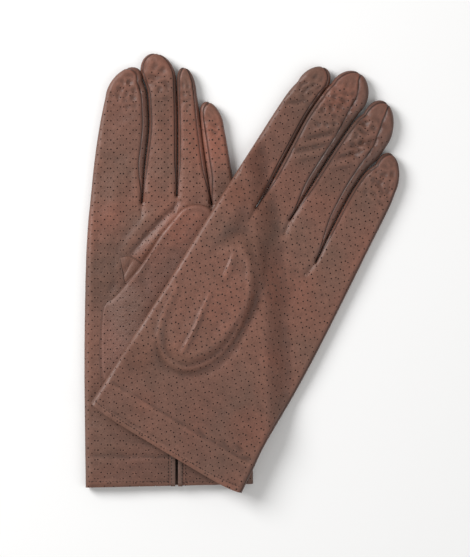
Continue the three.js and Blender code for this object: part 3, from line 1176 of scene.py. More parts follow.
class PunchPress:
    """Punches small blind holes in arches of four, on a staggered lattice."""

    COLUMNS, ROWS = 17, 48
    IN_ARCH = 4  # holes in one arch
    INPUTS = {
        "Column Pitch": 0.0070,
        "Row Pitch": 0.00525,
        "Stagger": 0.0023,
        "Hole Spacing": 0.00167,
        "Arch Drop": 0.00183,
        "Hole Radius": 0.00042,
        "Hole Depth": 0.00045,
        "Clear Margin": 1.25,
        "Jitter": 0.00014,
    }

    def __init__(self, hole: bpy.types.Material) -> None:
        """Builds the tree.

        Args:
            hole: What the inside of a hole looks like: a dark colour painted as its shade.
        """
        number = "NodeSocketFloat"
        sockets: dict[str, tuple] = {"Geometry": ("NodeSocketGeometry", None)}
        sockets |= {name: (number, value) for name, value in self.INPUTS.items()}
        sockets |= {
            "Turn": (number, 0.0),
            "Start": ("NodeSocketVector", None),
            "Ray": ("NodeSocketVector", (0.0, 0.0, -1.0)),
            "Seed": ("NodeSocketInt", 1),
            "Hole Material": ("NodeSocketMaterial", None),
        }
        n = group_tree("Punched Holes", "GeometryNodeTree", sockets, {"Geometry": "NodeSocketGeometry"})
        self.hole, self.tree = hole, n.tree
        g = n.add("NodeGroupInput").outputs
        count = self.COLUMNS * self.ROWS * self.IN_ARCH
        index = n.add("GeometryNodeInputIndex").outputs[0]
        hole_of = n.math("MODULO", index, self.IN_ARCH)
        cell = n.math("FLOOR", n.math("DIVIDE", n.math("ADD", index, 0.5), self.IN_ARCH))
        row = n.math("MODULO", cell, self.ROWS)
        column = n.math("FLOOR", n.math("DIVIDE", n.math("ADD", cell, 0.5), self.ROWS))
        middle = n.math("SUBTRACT", hole_of, 1.5)
        u = n.math("MULTIPLY_ADD", middle, g["Hole Spacing"], n.math("MULTIPLY", column, g["Column Pitch"]))
        outer = n.math("GREATER_THAN", n.math("ABSOLUTE", middle), 1.0)
        drop = n.math("MULTIPLY", outer, g["Arch Drop"])
        v = n.math("SUBTRACT", n.math("MULTIPLY", row, g["Row Pitch"]), drop)
        v = n.math("MULTIPLY_ADD", n.math("MODULO", column, 2), g["Stagger"], v)
        flat = n.wire("ShaderNodeCombineXYZ", {0: u, 1: v})
        feeds = {0: (-1, -1, 0), 1: (1, 1, 0), "Seed": g["Seed"]}
        wander = n.wire("FunctionNodeRandomValue", feeds, data_type="FLOAT_VECTOR")
        moved = n.wire("ShaderNodeVectorMath", {0: wander, "Scale": g["Jitter"]}, operation="SCALE")
        summed = n.wire("ShaderNodeVectorMath", {0: flat, 1: moved}, operation="ADD")
        feeds = {"Vector": summed, "Angle": g["Turn"]}
        turned = n.wire("ShaderNodeVectorRotate", feeds, rotation_type="Z_AXIS")
        placed = n.wire("ShaderNodeVectorMath", {0: turned, 1: g["Start"]}, operation="ADD")
        points = n.wire("GeometryNodePoints", {"Count": count, "Position": placed})
        n.wire("NodeGroupOutput", {0: self.cut(n, g, points)})

    def cut(self, n: Nodes, g: object, points: bpy.types.Node) -> bpy.types.Node:
        """Drops the lattice on the leather and cuts a small cone at each point that meets it.

        Args:
            n: The nodes of the tree.
            g: The group's inputs.
            points: The lattice's points.

        Returns:
            The punched leather.
        """
        feeds = {
            "Target Geometry": g["Geometry"],
            "Attribute": n.wire("GeometryNodeInputNamedAttribute", {"Name": "margin"}, data_type="FLOAT"),
            "Ray Direction": g["Ray"],
            "Ray Length": 0.4,
        }
        ray = n.wire("GeometryNodeRaycast", feeds, data_type="FLOAT")
        keep = n.wire("GeometryNodeCaptureAttribute", {0: points}, domain="POINT")
        for label, kind, hit in (
            ("place", "VECTOR", "Hit Position"),
            ("facing", "VECTOR", "Hit Normal"),
            ("room", "FLOAT", "Attribute"),
            ("met", "FLOAT", "Is Hit"),
        ):
            keep.capture_items.new(kind, label)
            n.put(keep.inputs[label], ray.outputs[hit])
        feeds = {0: keep.outputs["facing"], 1: g["Ray"]}
        steep = n.wire("ShaderNodeVectorMath", feeds, operation="DOT_PRODUCT").outputs["Value"]
        cramped = n.math("LESS_THAN", keep.outputs["room"], g["Clear Margin"])
        bad = n.math("MAXIMUM", cramped, n.math("SUBTRACT", 1.0, keep.outputs["met"]))
        bad = n.math("MAXIMUM", bad, n.math("GREATER_THAN", steep, -0.5))
        clear = n.wire("GeometryNodeDeleteGeometry", {0: keep, "Selection": bad}, domain="POINT")
        drop = n.wire("GeometryNodeSetPosition", {0: clear, "Position": keep.outputs["place"]})
        feeds = {"Vector": keep.outputs["facing"]}
        aim = n.wire("FunctionNodeAlignRotationToVector", feeds, axis="Z")
        feeds = {
            "Vertices": 6,
            "Radius Top": n.math("MULTIPLY", g["Hole Radius"], 1.15),
            "Radius Bottom": n.math("MULTIPLY", g["Hole Radius"], 0.25),
            "Depth": n.math("MULTIPLY", g["Hole Depth"], 1.2),
        }
        cone = n.wire("GeometryNodeMeshCone", feeds)
        low = n.wire("ShaderNodeCombineXYZ", {2: n.math("MULTIPLY", g["Hole Depth"], -1.0)})
        sunk = n.wire("GeometryNodeTransform", {"Geometry": cone, "Translation": low})
        feeds = {2: 0.82, 3: 1.15, "Seed": g["Seed"]}
        size = n.wire("FunctionNodeRandomValue", feeds, data_type="FLOAT").outputs[1]
        feeds = {"Points": drop, "Instance": sunk, "Rotation": aim, "Scale": size}
        copies = n.wire("GeometryNodeInstanceOnPoints", feeds)
        feeds = {"Mesh 1": g["Geometry"], "Mesh 2": n.real(copies, g["Hole Material"])}
        return n.wire("GeometryNodeMeshBoolean", feeds, operation="DIFFERENCE", solver="MANIFOLD")

    def apply(self, sheet: bpy.types.Object, start: Point, turn: float, above: bool, seed: int) -> None:
        """Punches one layer of a sheet, from above or from below.

        Args:
            sheet: The leather.
            start: Where the lattice starts on the table, in millimetres.
            turn: How far the lattice is turned, in degrees.
            above: Whether the punch comes from above.
            seed: Seed of the small unevenness.
        """
        leather = sheet.data.materials[0]
        modifier = sheet.modifiers.new("Punched Holes", "NODES")
        modifier.node_group = self.tree
        inputs = {
            **self.INPUTS,
            "Turn": math.radians(turn),
            "Start": (start[0] * MM, start[1] * MM, 0.1 if above else -0.1),
            "Ray": (0.0, 0.0, -1.0 if above else 1.0),
            "Seed": seed,
            "Hole Material": self.hole,
        }
        set_inputs(modifier, inputs)
        settle(sheet)
        mesh = sheet.data
        slots = np.zeros(len(mesh.polygons), np.int32)
        mesh.polygons.foreach_get("material_index", slots)
        mesh.materials.clear()
        mesh.materials.append(leather)
        mesh.materials.append(self.hole)
        mesh.polygons.foreach_set("material_index", np.minimum(slots, 1))
        smooth(mesh)


# ---------------------------------------------------------------- sub-assemblies


def to_world(points: np.ndarray) -> list[tuple[float, float, float]]:
    """Points in millimetres as tuples in metres."""
    return [tuple(float(c) * MM for c in point) for point in points]


def loft(name: str, rows: np.ndarray, material: bpy.types.Material) -> bpy.types.Object:
    """A tube through rings of points, with its ends filled.

    Args:
        name: The piece's name.
        rows: Rings, points, xyz in millimetres, anticlockwise seen against the run.
        material: Its finish.

    Returns:
        The object.
    """
    count, around = rows.shape[:2]
    index = np.arange(count * around).reshape(count, around)
    nxt = np.roll(index, -1, axis=1)
    faces = np.stack([index[:-1], nxt[:-1], nxt[1:], index[1:]], -1).reshape(-1, 4).tolist()
    faces += [index[0, ::-1].tolist(), index[-1].tolist()]
    mesh = bpy.data.meshes.new(name)
    mesh.from_pydata(to_world(rows.reshape(-1, 3)), [], faces)
    mesh.materials.append(material)
    return finish_mesh(name, mesh)


def bead(
    name: str, path: np.ndarray, across: float, tall: float, material: bpy.types.Material
) -> bpy.types.Object:
    """A thin rounded cord of leather that follows a path and tapers off at its ends.

    Args:
        name: The piece's name.
        path: Points, xyz in millimetres.
        across: Half its width.
        tall: Half its height.
        material: Its finish.

    Returns:
        The object.
    """
    run = np.gradient(path, axis=0)
    run /= np.maximum(np.linalg.norm(run, axis=1, keepdims=True), 1e-9)
    left = np.cross(np.array([0.0, 0.0, 1.0]), run)
    left /= np.maximum(np.linalg.norm(left, axis=1, keepdims=True), 1e-9)
    up = np.cross(run, left)
    turn = np.linspace(0, 2 * math.pi, 9)[:-1]
    share = np.linspace(0, 1, len(path))
    taper = 0.3 + 0.7 * ramp(np.minimum(share, 1 - share), 0.0, 0.03)
    ring = np.cos(turn)[None, :, None] * left[:, None] * across
    ring = ring + np.sin(turn)[None, :, None] * up[:, None] * tall
    return loft(name, path[:, None] + ring * taper[:, None, None], material)


class Stitcher:
    """Rows of stitches along a path."""

    INPUTS = {"Stitch Pitch": 0.0018, "Stitch Length": 0.00125, "Thread Width": 0.00042}

    def __init__(self, thread: bpy.types.Material) -> None:
        """Builds the tree: a path goes in, one small stitch for each step comes out.

        Args:
            thread: What the thread is made of.
        """
        self.thread = thread
        sockets: dict[str, tuple] = {"Geometry": ("NodeSocketGeometry", None)}
        sockets |= {name: ("NodeSocketFloat", value) for name, value in self.INPUTS.items()}
        sockets["Thread Material"] = ("NodeSocketMaterial", None)
        n = group_tree("Stitch Row", "GeometryNodeTree", sockets, {"Geometry": "NodeSocketGeometry"})
        self.tree = n.tree
        g = n.add("NodeGroupInput").outputs
        curve = n.wire("GeometryNodeMeshToCurve", {0: g["Geometry"]})
        feeds = {"Curve": curve, "Length": g["Stitch Pitch"]}
        steps = n.wire("GeometryNodeResampleCurve", feeds, mode="LENGTH")
        feeds = {"Vector": n.add("GeometryNodeInputTangent")}
        aim = n.wire("FunctionNodeAlignRotationToVector", feeds, axis="X")
        ball = n.wire("GeometryNodeMeshUVSphere", {"Segments": 6, "Rings": 4, "Radius": 0.5})
        feeds = {0: g["Stitch Length"], 1: g["Thread Width"], 2: g["Thread Width"]}
        size = n.wire("ShaderNodeCombineXYZ", feeds)
        feeds = {"Points": steps, "Instance": ball, "Rotation": aim, "Scale": size}
        copies = n.wire("GeometryNodeInstanceOnPoints", feeds)
        n.wire("NodeGroupOutput", {0: n.real(copies, g["Thread Material"])})

    def sew(self, name: str, paths: list[np.ndarray]) -> bpy.types.Object:
        """One piece of stitches along paths in millimetres.

        Args:
            name: The piece's name.
            paths: Points of each path, xyz in millimetres.

        Returns:
            The object.
        """
        corners, edges = [], []
        for path in paths:
            first = len(corners)
            corners += to_world(path)
            edges += [(k, k + 1) for k in range(first, first + len(path) - 1)]
        mesh = bpy.data.meshes.new(name)
        mesh.from_pydata(corners, edges, [])
        made = in_scene(name, mesh)
        modifier = made.modifiers.new("Stitch Row", "NODES")
        modifier.node_group = self.tree
        set_inputs(modifier, {**self.INPUTS, "Thread Material": self.thread})
        settle(made)
        made.data.materials.clear()
        made.data.materials.append(self.thread)
        made.data.shade_smooth()
        return made


@dataclass(frozen=True)
class Workshop:
    """What every sub-assembly is made with."""

    finishes: Finishes
    sheets: SheetMaker
    stitches: Stitcher


def attach(made: bpy.types.Object, body: str, nodes: tuple[str, ...] = ()) -> None:
    """Makes a piece ride on a body and stand for nodes of the frame."""
    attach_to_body(made, body)
    record(made, nodes)


def record(made: bpy.types.Object, nodes: tuple[str, ...]) -> None:
    """Hides the nodes that a piece stands for, and reports it with them.

    Args:
        made: The piece.
        nodes: Nodes that it stands for, if any.
    """
    if nodes:
        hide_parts(*nodes)
    LOG.info("%s: %d faces, for %s", made.name, len(made.data.polygons), ", ".join(nodes) or "the looks only")


@dataclass(frozen=True)
class FingerSleeve:
    """One finger of a glove: its two leathers, its fourchettes and its seam."""

    glove: Glove
    finger: Finger
    bend: float = 12.0  # a length, in millimetres

    def patches(self) -> dict[Piece, Patch]:
        """Its placed sheets.

        Returns:
            Each kind of sheet with its grid.
        """
        kinds = [Piece.TOP]
        if self.finger.body in (Body.MIDDLE, Body.RING):
            kinds.append(Piece.UNDER)
        if self.finger.body is Body.LITTLE:
            kinds.append(Piece.WRAP)
        if self.finger.body is not Body.INDEX:
            kinds.append(Piece.FOURCHETTE_INDEX)
        if self.finger.body is not Body.LITTLE:
            kinds.append(Piece.FOURCHETTE_LITTLE)
        seam = self.glove.side_seam
        return {kind: self.glove.place(finger_patch(self.finger, kind, seam)) for kind in kinds}

    def nodes(self, piece: Piece) -> tuple[str, ...]:
        """The frame's nodes that a sheet stands for.

        Args:
            piece: Which sheet.

        Returns:
            The nodes' names.
        """
        name = f"{self.glove.name}_{self.finger.body.value}"
        top, under = ("palm", "back") if self.glove.palm_up else ("back", "palm")
        if self.finger.body is Body.INDEX and piece is Piece.TOP:
            return f"{name}_back", f"{name}_palm", f"{name}_fold"
        return {
            Piece.TOP: (f"{name}_{top}",),
            Piece.UNDER: (f"{name}_{under}",),
            Piece.WRAP: (f"{name}_{under}",),
            Piece.FOURCHETTE_INDEX: (f"{name}_fourchette_a",),
            Piece.FOURCHETTE_LITTLE: (f"{name}_fourchette_b",),
        }[piece]

    def build(self, shop: Workshop) -> dict[Piece, Patch]:
        """Makes the finger's pieces.

        Args:
            shop: Finishes and tools.

        Returns:
            Its placed sheets, for the hand to meet.
        """
        patches = self.patches()
        hand, body = f"{self.glove.name}_hand", f"{self.glove.name}_{self.finger.body.value}"
        labels = {
            Piece.TOP: "trank_upper",
            Piece.UNDER: "trank_lower",
            Piece.WRAP: "trank_edge",
            Piece.FOURCHETTE_INDEX: "fourchette_index_side",
            Piece.FOURCHETTE_LITTLE: "fourchette_little_side",
        }
        for kind, patch in patches.items():
            slip = kind in FOURCHETTES
            material = shop.finishes.fourchette if slip else shop.finishes.trank
            made = shop.sheets.leather(f"{body}_{labels[kind]}", self.glove, patch, material)
            shop.sheets.punch(made, self.glove)
            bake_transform(made)
            record(made, self.nodes(kind))
        if self.finger.body is Body.LITTLE:
            seam = patches[Piece.WRAP]
            path = (seam.points - WELT_SUNK * seam.normals)[1:-2, 0]
            welt = bead(f"{body}_seam_welt", path, WELT_ACROSS, WELT_TALL, shop.finishes.seam)
            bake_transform(welt)
            record(welt, (f"{body}_seam",))
        return patches


@dataclass(frozen=True)
class ThumbSleeve:
    """A thumb, folded flat against the palm and sewn in round its root."""

    glove: Glove
    tube: Finger
    root: tuple[Point, ...]
    level_root: float
    level_free: float
    half_root: float
    half_free: float
    lean: Point  # the way it points, in the flat frame
    seam_welt: Point = (0.32, 0.30)  # half sizes of its seams
    root_welt: Point = (0.30, 0.26)
    bend_back: float = 0.016  # two lengths, in metres
    bend_ahead: float = 0.010

    def patch(self) -> Patch:
        """Its one sheet, from the seam round under, over the fold and back to the seam.

        Returns:
            Its placed grid.
        """
        line, fold, seam = Track(self.root), Track(self.tube.left), Track(self.tube.right)
        count = 44
        rows = []
        for ring, share in self.tube.rings():
            start, end = -ring.total + 0.35, ring.total - 0.35
            start, end = min(start, -0.02), max(end, 0.02)
            arc = spread(start, end, count)
            flat, depth, side = ring.around(arc)
            if float(np.hypot(*ring.across)) > 0.01:
                a = np.clip(((flat - ring.centre) @ ring.across) / float(ring.across @ ring.across), -1, 1)
            else:
                a = np.zeros(len(arc))
            chord = fold.at(np.zeros(1)) * (1 - a[:, None]) / 2 + seam.at(np.zeros(1)) * (1 + a[:, None]) / 2
            pull = float(1 - ramp(np.array(share), 0.0, 0.35))
            flat = flat + pull * (line.at((1 + a) / 2) - chord)
            rows.append((flat, depth, side, arc - start, end - arc, np.full(len(arc), share)))
        flat, depth, side, low, high, share = (np.stack(part) for part in zip(*rows))
        bare = int((share[:, 0] < self.tube.bare_tip).sum())
        made = Patch(flat, depth, side, low, high, tip_from=bare)
        opening = ramp(share, 0.0, 0.34)
        x, y = self.glove.lay.on_table(flat[..., 0], flat[..., 1])
        half = self.half_root + (self.half_free - self.half_root) * opening
        rim = np.where(share < 0.02, 0.35, 1.0)
        made.room = half * dome(depth * 1.5)
        level = self.level_root + (self.level_free - self.level_root) * opening
        lift = self.relief(flat[..., 0], flat[..., 1], depth, side) * ramp(depth, 0.0, 2.0) * opening
        z = level + side * (made.room * rim + lift)
        points = np.stack([x, y, z], -1)
        near = np.minimum(low, high)
        sunk = (0.35 * np.exp(-((near / 0.5) ** 2)))[..., None]
        made.points = points - grid_normals(points) * sunk
        made.normals = grid_normals(made.points)
        return made

    def relief(self, u: np.ndarray, v: np.ndarray, depth: np.ndarray, side: np.ndarray) -> np.ndarray:
        """Unevenness of the thumb's leather.

        Args:
            u: Across.
            v: Along.
            depth: Distance in from the outline.
            side: 1 on top, -1 underneath.

        Returns:
            The height, in millimetres.
        """
        seed = self.glove.seed + 31
        lift = 0.24 * ripple(u, v, 17.0, seed) + 0.08 * ripple(u, v, 6.0, seed + 1)
        lift = lift + 0.30 * np.exp(-(((depth - 2.1) / 0.9) ** 2))
        return np.where(side > 0, lift, 0.3 * lift)

    def build(self, shop: Workshop) -> None:
        """Makes the thumb's leather and its seams.

        Args:
            shop: Finishes and tools.
        """
        name = self.glove.name
        hand, body = f"{name}_hand", f"{name}_thumb"
        x, y = self.glove.lay.on_table(np.array([0.0, self.lean[0]]), np.array([0.0, self.lean[1]]))
        patch = self.patch()
        made = shop.sheets.leather(f"{body}_leather", self.glove, patch, shop.finishes.thumb)
        shop.sheets.punch(made, self.glove)
        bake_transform(made)
        record(made, (f"{body}_outer", f"{body}_inner", f"{body}_fold"))
        edge = 0.5 * (patch.points[1:-1, 0] + patch.points[1:-1, -1])
        welt = bead(f"{body}_seam_welt", edge, *self.seam_welt, shop.finishes.seam)
        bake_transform(welt)
        record(welt, (f"{body}_seam",))
        outer = patch.points[0][patch.side[0] > 0]
        sunk = outer + np.array([0.0, 0.0, -0.12])
        root = bead(f"{body}_root_welt", sunk, *self.root_welt, shop.finishes.seam)
        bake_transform(root)
        record(root, ())


@dataclass(frozen=True)
class HandSheet:
    """The hand of a glove: one leather, closed by the side seam, with its vent cut in the palm."""

    glove: Glove
    roots: tuple[dict[Piece, Patch], ...]
    slit_top: float = 17.2
    slit_width: float = 1.5

    def build(self, shop: Workshop) -> None:
        """Makes the sheet, the side seam and what trims the cuff.

        Args:
            shop: Finishes and tools.
        """
        glove, name = self.glove, self.glove.name
        index, middle, ring, little = self.roots
        under = [little[Piece.WRAP], ring[Piece.UNDER], middle[Piece.UNDER]]
        order = [*under, *(finger[Piece.TOP] for finger in (index, middle, ring, little))]
        patch = glove.place(glove.hand_patch(order))
        made = shop.sheets.leather(f"{name}_hand_trank", glove, patch, shop.finishes.trank)
        self.cut_vent(made)
        shop.sheets.punch(made, glove)
        panels = (f"{name}_back_panel", f"{name}_palm_panel", f"{name}_index_side_fold")
        attach(made, f"{name}_hand", panels)
        path = (patch.points - WELT_SUNK * patch.normals)[:, 0]
        welt = bead(f"{name}_side_seam_welt", path, WELT_ACROSS, WELT_TALL, shop.finishes.seam)
        attach(welt, f"{name}_hand", (f"{name}_side_seam",))
        rows = int((patch.flat[:, 5, 1] < HEM_TOP - 1.0).sum())
        grids = (patch.flat, patch.depth, patch.side, patch.from_start, patch.from_end)
        hem = Patch(*(grid[:rows] for grid in grids), room=np.full(patch.depth[:rows].shape, 0.35))
        inward = np.minimum(0.62, 0.35 * HALF_HEIGHT * dome(patch.depth[:rows]))
        hem.points = patch.points[:rows] - patch.normals[:rows] * inward[..., None]
        hem.normals = patch.normals[:rows]
        facing = shop.sheets.leather(f"{name}_cuff_hem", glove, hem, shop.finishes.trim)
        self.cut_vent(facing)
        attach(facing, f"{name}_hand")
        self.trim(shop)

    def cut_vent(self, sheet: bpy.types.Object) -> None:
        """Cuts the vent's slit through the palm's layer.

        Args:
            sheet: The hand's leather, or its hem.
        """
        glove, side = self.glove, self.glove.palm_side
        corners = []
        for z in (0.0, 5.0):
            for u, v in ((-1, -8), (1, -8), (1, 1), (-1, 1)):
                at = (glove.vent + u * self.slit_width / 2, v if v < 0 else self.slit_top)
                middle = glove.level(at[0], max(at[1], 0.0))
                x, y = glove.lay.on_table(np.array(at[0]), np.array(at[1]))
                corners.append((float(x), float(y), middle + side * z))
        faces = [(3, 2, 1, 0), (4, 5, 6, 7), (0, 1, 5, 4), (1, 2, 6, 5), (2, 3, 7, 6), (3, 0, 4, 7)]
        if side < 0:
            faces = [face[::-1] for face in faces]
        mesh = bpy.data.meshes.new("vent_cutter")
        mesh.from_pydata(to_world(np.array(corners)), [], faces)
        cutter = in_scene("vent_cutter", mesh)
        slit = sheet.modifiers.new("Vent", "BOOLEAN")
        slit.operation, slit.solver, slit.object = "DIFFERENCE", "MANIFOLD", cutter
        settle(sheet)
        bpy.data.objects.remove(cutter)
        smooth(sheet.data)

    def trim(self, shop: Workshop) -> None:
        """Binds the vent and stitches the vent and the hem.

        Args:
            shop: Finishes and tools.
        """
        glove, name, side = self.glove, self.glove.name, self.glove.palm_side
        for label, low, high in (("index", -3.3, -0.75), ("little", 0.75, 3.2)):
            v = np.linspace(-0.1 - glove.cuff_sag * 0.9, self.slit_top + 0.8, 26)
            across = np.array([low, low, low + 0.35, high - 0.35, high, high, low + 0.4]) + glove.vent
            above = np.array([0.02, 0.30, 0.48, 0.48, 0.30, -0.55, -0.55])
            rings = [glove.on_surface(across, np.full(len(across), at), side, above) for at in v]
            rows = np.stack(rings)
            rows = rows if side < 0 else rows[:, ::-1]
            strip = loft(f"{name}_vent_strip_{label}", rows, shop.finishes.trim)
            attach(strip, f"{name}_hand", (f"{name}_vent_binding_{label}",))
        v = np.linspace(0.6, self.slit_top, 40)
        across = [glove.vent - 4.6, glove.vent - 2.9, glove.vent + 2.9, glove.vent + 4.9]
        lift = (0.10, 0.5, 0.5, 0.10)
        rows = [glove.on_surface(np.full(40, u), v, side, h) for u, h in zip(across, lift)]
        end = np.linspace(-4.6, 4.9, 20) + glove.vent
        rows.append(glove.on_surface(end, np.full(20, self.slit_top + 1.4), side, 0.1))
        attach(shop.stitches.sew(f"{name}_vent_stitches", rows), f"{name}_hand")
        left = float(Track(glove.index_side).at(np.zeros(1))[0, 0]) + 2.2
        right = float(Track(glove.little_side).at(np.zeros(1))[0, 0]) - 3.2
        paths = []
        for face in (1.0, -1.0):
            for low, high in ((left, glove.vent - 5.2), (glove.vent + 5.4, right)):
                u = np.linspace(low, high, 60)
                a = (u - left) / (right - left) * 2 - 1
                v = HEM_STITCH - glove.cuff_sag * (1 - np.abs(a) ** 3)
                paths.append(glove.on_surface(u, v, face, 0.06))
        attach(shop.stitches.sew(f"{name}_hem_stitches", paths), f"{name}_hand")


@dataclass(frozen=True)
class WristTape:
    """The woven elastic sewn inside the palm at the wrist."""

    glove: Glove
    start: float
    end: float
    at: float = 52.0
    width: float = 5.0

    def build(self, shop: Workshop) -> None:
        """Makes the gathered tape.

        Args:
            shop: Finishes and tools.
        """
        side = self.glove.palm_side
        u = np.linspace(self.start, self.end, 70)
        gather = 0.18 * np.sin(np.linspace(0, 22 * math.pi, 70))
        half = self.width / 2
        shape = ((-half, -1.0), (half, -1.0), (half, -1.7), (-half, -1.7))
        edges = [
            self.glove.on_surface(u, np.full(70, self.at + across), side, above + gather)
            for across, above in shape
        ]
        rows = np.stack(edges, 1)
        rows = rows if side > 0 else rows[:, ::-1]
        made = loft(f"{self.glove.name}_wrist_elastic_tape", rows[:, ::-1], shop.finishes.tape)
        attach(made, f"{self.glove.name}_hand", (f"{self.glove.name}_wrist_elastic",))


@dataclass(frozen=True)
class QuirkLeaf:
    """The small leaf of leather let in where the thumb leaves the palm."""

    glove: Glove
    outline: tuple[Point, ...]
    swell: Point  # where it stands highest

    def build(self, shop: Workshop) -> None:
        """Makes the leaf and the rolled edge of the opening that it fills.

        Args:
            shop: Finishes and tools.
        """
        side = self.glove.palm_side
        edge = Track((*self.outline, self.outline[0])).dense()[::4]
        middle = edge.mean(0)
        rows = []
        for r in (1.0, 0.93, 0.8, 0.6, 0.35, 0.1):
            flat = middle + r * (edge - middle)
            swell = 1 - ramp(np.hypot(flat[:, 0] - self.swell[0], flat[:, 1] - self.swell[1]), 0.0, 5.5)
            run = (flat - np.array(self.swell)) @ np.array([0.86, -0.5]) - 3.2
            fold = np.exp(-((run / 1.1) ** 2))
            lift = 0.10 + (0.35 + 1.0 * swell - 0.75 * fold) * (1 - r**4)
            rows.append(self.glove.on_surface(flat[:, 0], flat[:, 1], side, lift))
        under = self.glove.on_surface(edge[:, 0], edge[:, 1], side, -0.3)
        rows = np.stack([under, *rows])
        top = rows if self.is_anticlockwise(edge) == (side > 0) else rows[:, ::-1]
        name = self.glove.name
        leaf = loft(f"{name}_quirk_leaf", top, shop.finishes.trank)
        attach(leaf, f"{name}_hand", (f"{name}_thumb_gusset",))
        rim = self.glove.on_surface(edge[:, 0], edge[:, 1], side, 0.16)
        attach(bead(f"{name}_quirk_rim", rim, 0.42, 0.45, shop.finishes.seam), f"{name}_hand")

    @staticmethod
    def is_anticlockwise(edge: np.ndarray) -> bool:
        """Whether an outline runs anticlockwise."""
        x, y = edge.T
        return float(np.sum(x * np.roll(y, -1) - y * np.roll(x, -1))) > 0


# ---------------------------------------------------------------- the two gloves


def left_glove() -> Glove:
    """The lower glove, palm up.

    Returns:
        The glove.
    """
    k0, c1, c2, c3, k4 = (-43.6, 157.5), (-15.2, 156.1), (4.2, 160.0), (23.5, 155.0), (38.4, 156.0)
    index = Finger(
        Body.INDEX,
        (k0, (-41.8, 175.5), (-40.1, 188.8), (-37.9, 202.0), (-35.2, 215.0)),
        (c1, (-13.7, 177.0), (-11.6, 196.0), (-11.7, 208.0), (-12.6, 217.5), (-14.8, 223.8)),
        (-24.0, 230.2),
        show_right=(0.15, 3.3, 3.0),
    )
    middle = Finger(
        Body.MIDDLE,
        (c1, (-13.4, 177.0), (-11.3, 196.0), (-11.4, 208.0), (-12.2, 217.8), (-14.6, 225.0), (-16.0, 228.5)),
        (c2, (4.4, 180.0), (4.3, 205.0), (3.7, 225.0)),
        (-6.9, 238.5),
    )
    ring = Finger(
        Body.RING,
        (c2, (4.7, 180.0), (4.7, 200.0), (4.3, 216.0), (4.1, 222.0)),
        (c3, (19.8, 180.0), (17.6, 197.0), (16.2, 209.0), (14.9, 218.0)),
        (8.8, 230.8),
        show_right=(0.15, 2.4, 1.6),
    )
    little = Finger(
        Body.LITTLE,
        (c3, (20.2, 176.0), (18.2, 190.0), (17.1, 201.0), (16.8, 205.0)),
        (k4, (34.3, 174.0), (31.8, 188.8), (30.0, 198.5)),
        (22.6, 211.5),
        show_left=(0.15, 3.0, 2.2),
    )
    return Glove(
        name="left",
        palm_up=True,
        lay=Lay((-39.8, -117.4), 0.0, False),
        index_side=((-46.2, -0.9), (-46.7, 38.0), (-46.9, 76.0), (-46.2, 119.0), (-45.1, 142.0), k0),
        little_side=((46.2, 1.2), (45.6, 47.0), (44.2, 91.0), (41.7, 130.0), k4),
        crotches=(c1, c2, c3),
        fingers=(index, middle, ring, little),
        side_seam=-1.7,
        cuff_sag=0.0,
        folds=(
            Crease((-21.0, 128.5), (6.0, 157.0), -1.50, 1.4, 0.6),
            Crease((-16.5, 125.5), (3.0, 149.0), 0.75, 1.8),
            Crease((-24.6, 131.0), (-8.0, 152.0), 0.60, 2.4, 0.8),
            Crease((-29.5, 112.0), (-27.2, 127.0), 0.35, 1.6),
            Crease((-34.5, 104.0), (-28.0, 118.0), -0.35, 1.8),
            Crease((-15.2, 156.5), (-15.6, 148.5), -0.85, 1.0),
            Crease((4.2, 160.0), (2.2, 149.0), -0.80, 1.0),
            Crease((23.3, 156.0), (22.8, 150.0), -0.70, 1.0),
            Crease((-29.0, 170.0), (-33.0, 143.0), 0.30, 3.5),
            Crease((-22.5, 176.0), (-22.0, 160.0), -0.30, 1.6, 0.6),
            Crease((-6.5, 205.0), (-3.5, 168.0), 0.30, 2.6),
            Crease((10.0, 200.0), (12.0, 166.0), 0.28, 2.6),
            Crease((-44.0, 96.0), (-42.5, 150.0), 0.25, 1.6),
            Crease((-40.0, 22.0), (6.0, 20.0), 0.22, 4.0),
        ),
        crumples=(
            Crumple((-25.0, 217.0), 14.0, 0.80, 6.5, 11),
            Crumple((-7.0, 224.0), 16.0, 1.00, 8.0, 12),
            Crumple((9.5, 216.0), 11.0, 0.60, 6.0, 13),
            Crumple((23.0, 200.0), 10.0, 0.60, 6.0, 14),
        ),
        vent=4.1,
        warm_spots=(((26.0, 190.0), 26.0, 0.45), ((9.0, 195.0), 26.0, 0.30), ((10.0, 142.0), 18.0, 0.35)),
        # Painted shade over the cuff, the fingers and the palm.
        painted_shade_spots=(
            ((0.0, 0.0), 64.0, 0.42),
            ((-12.0, 212.0), 34.0, 0.18),
            ((-24.0, 112.0), 40.0, 0.30),
            ((12.0, 126.0), 26.0, 0.20),
        ),
        lattice=(-40.1 - 7.0, 12.3 - 5.25 * 3),
        seed=101,
    )


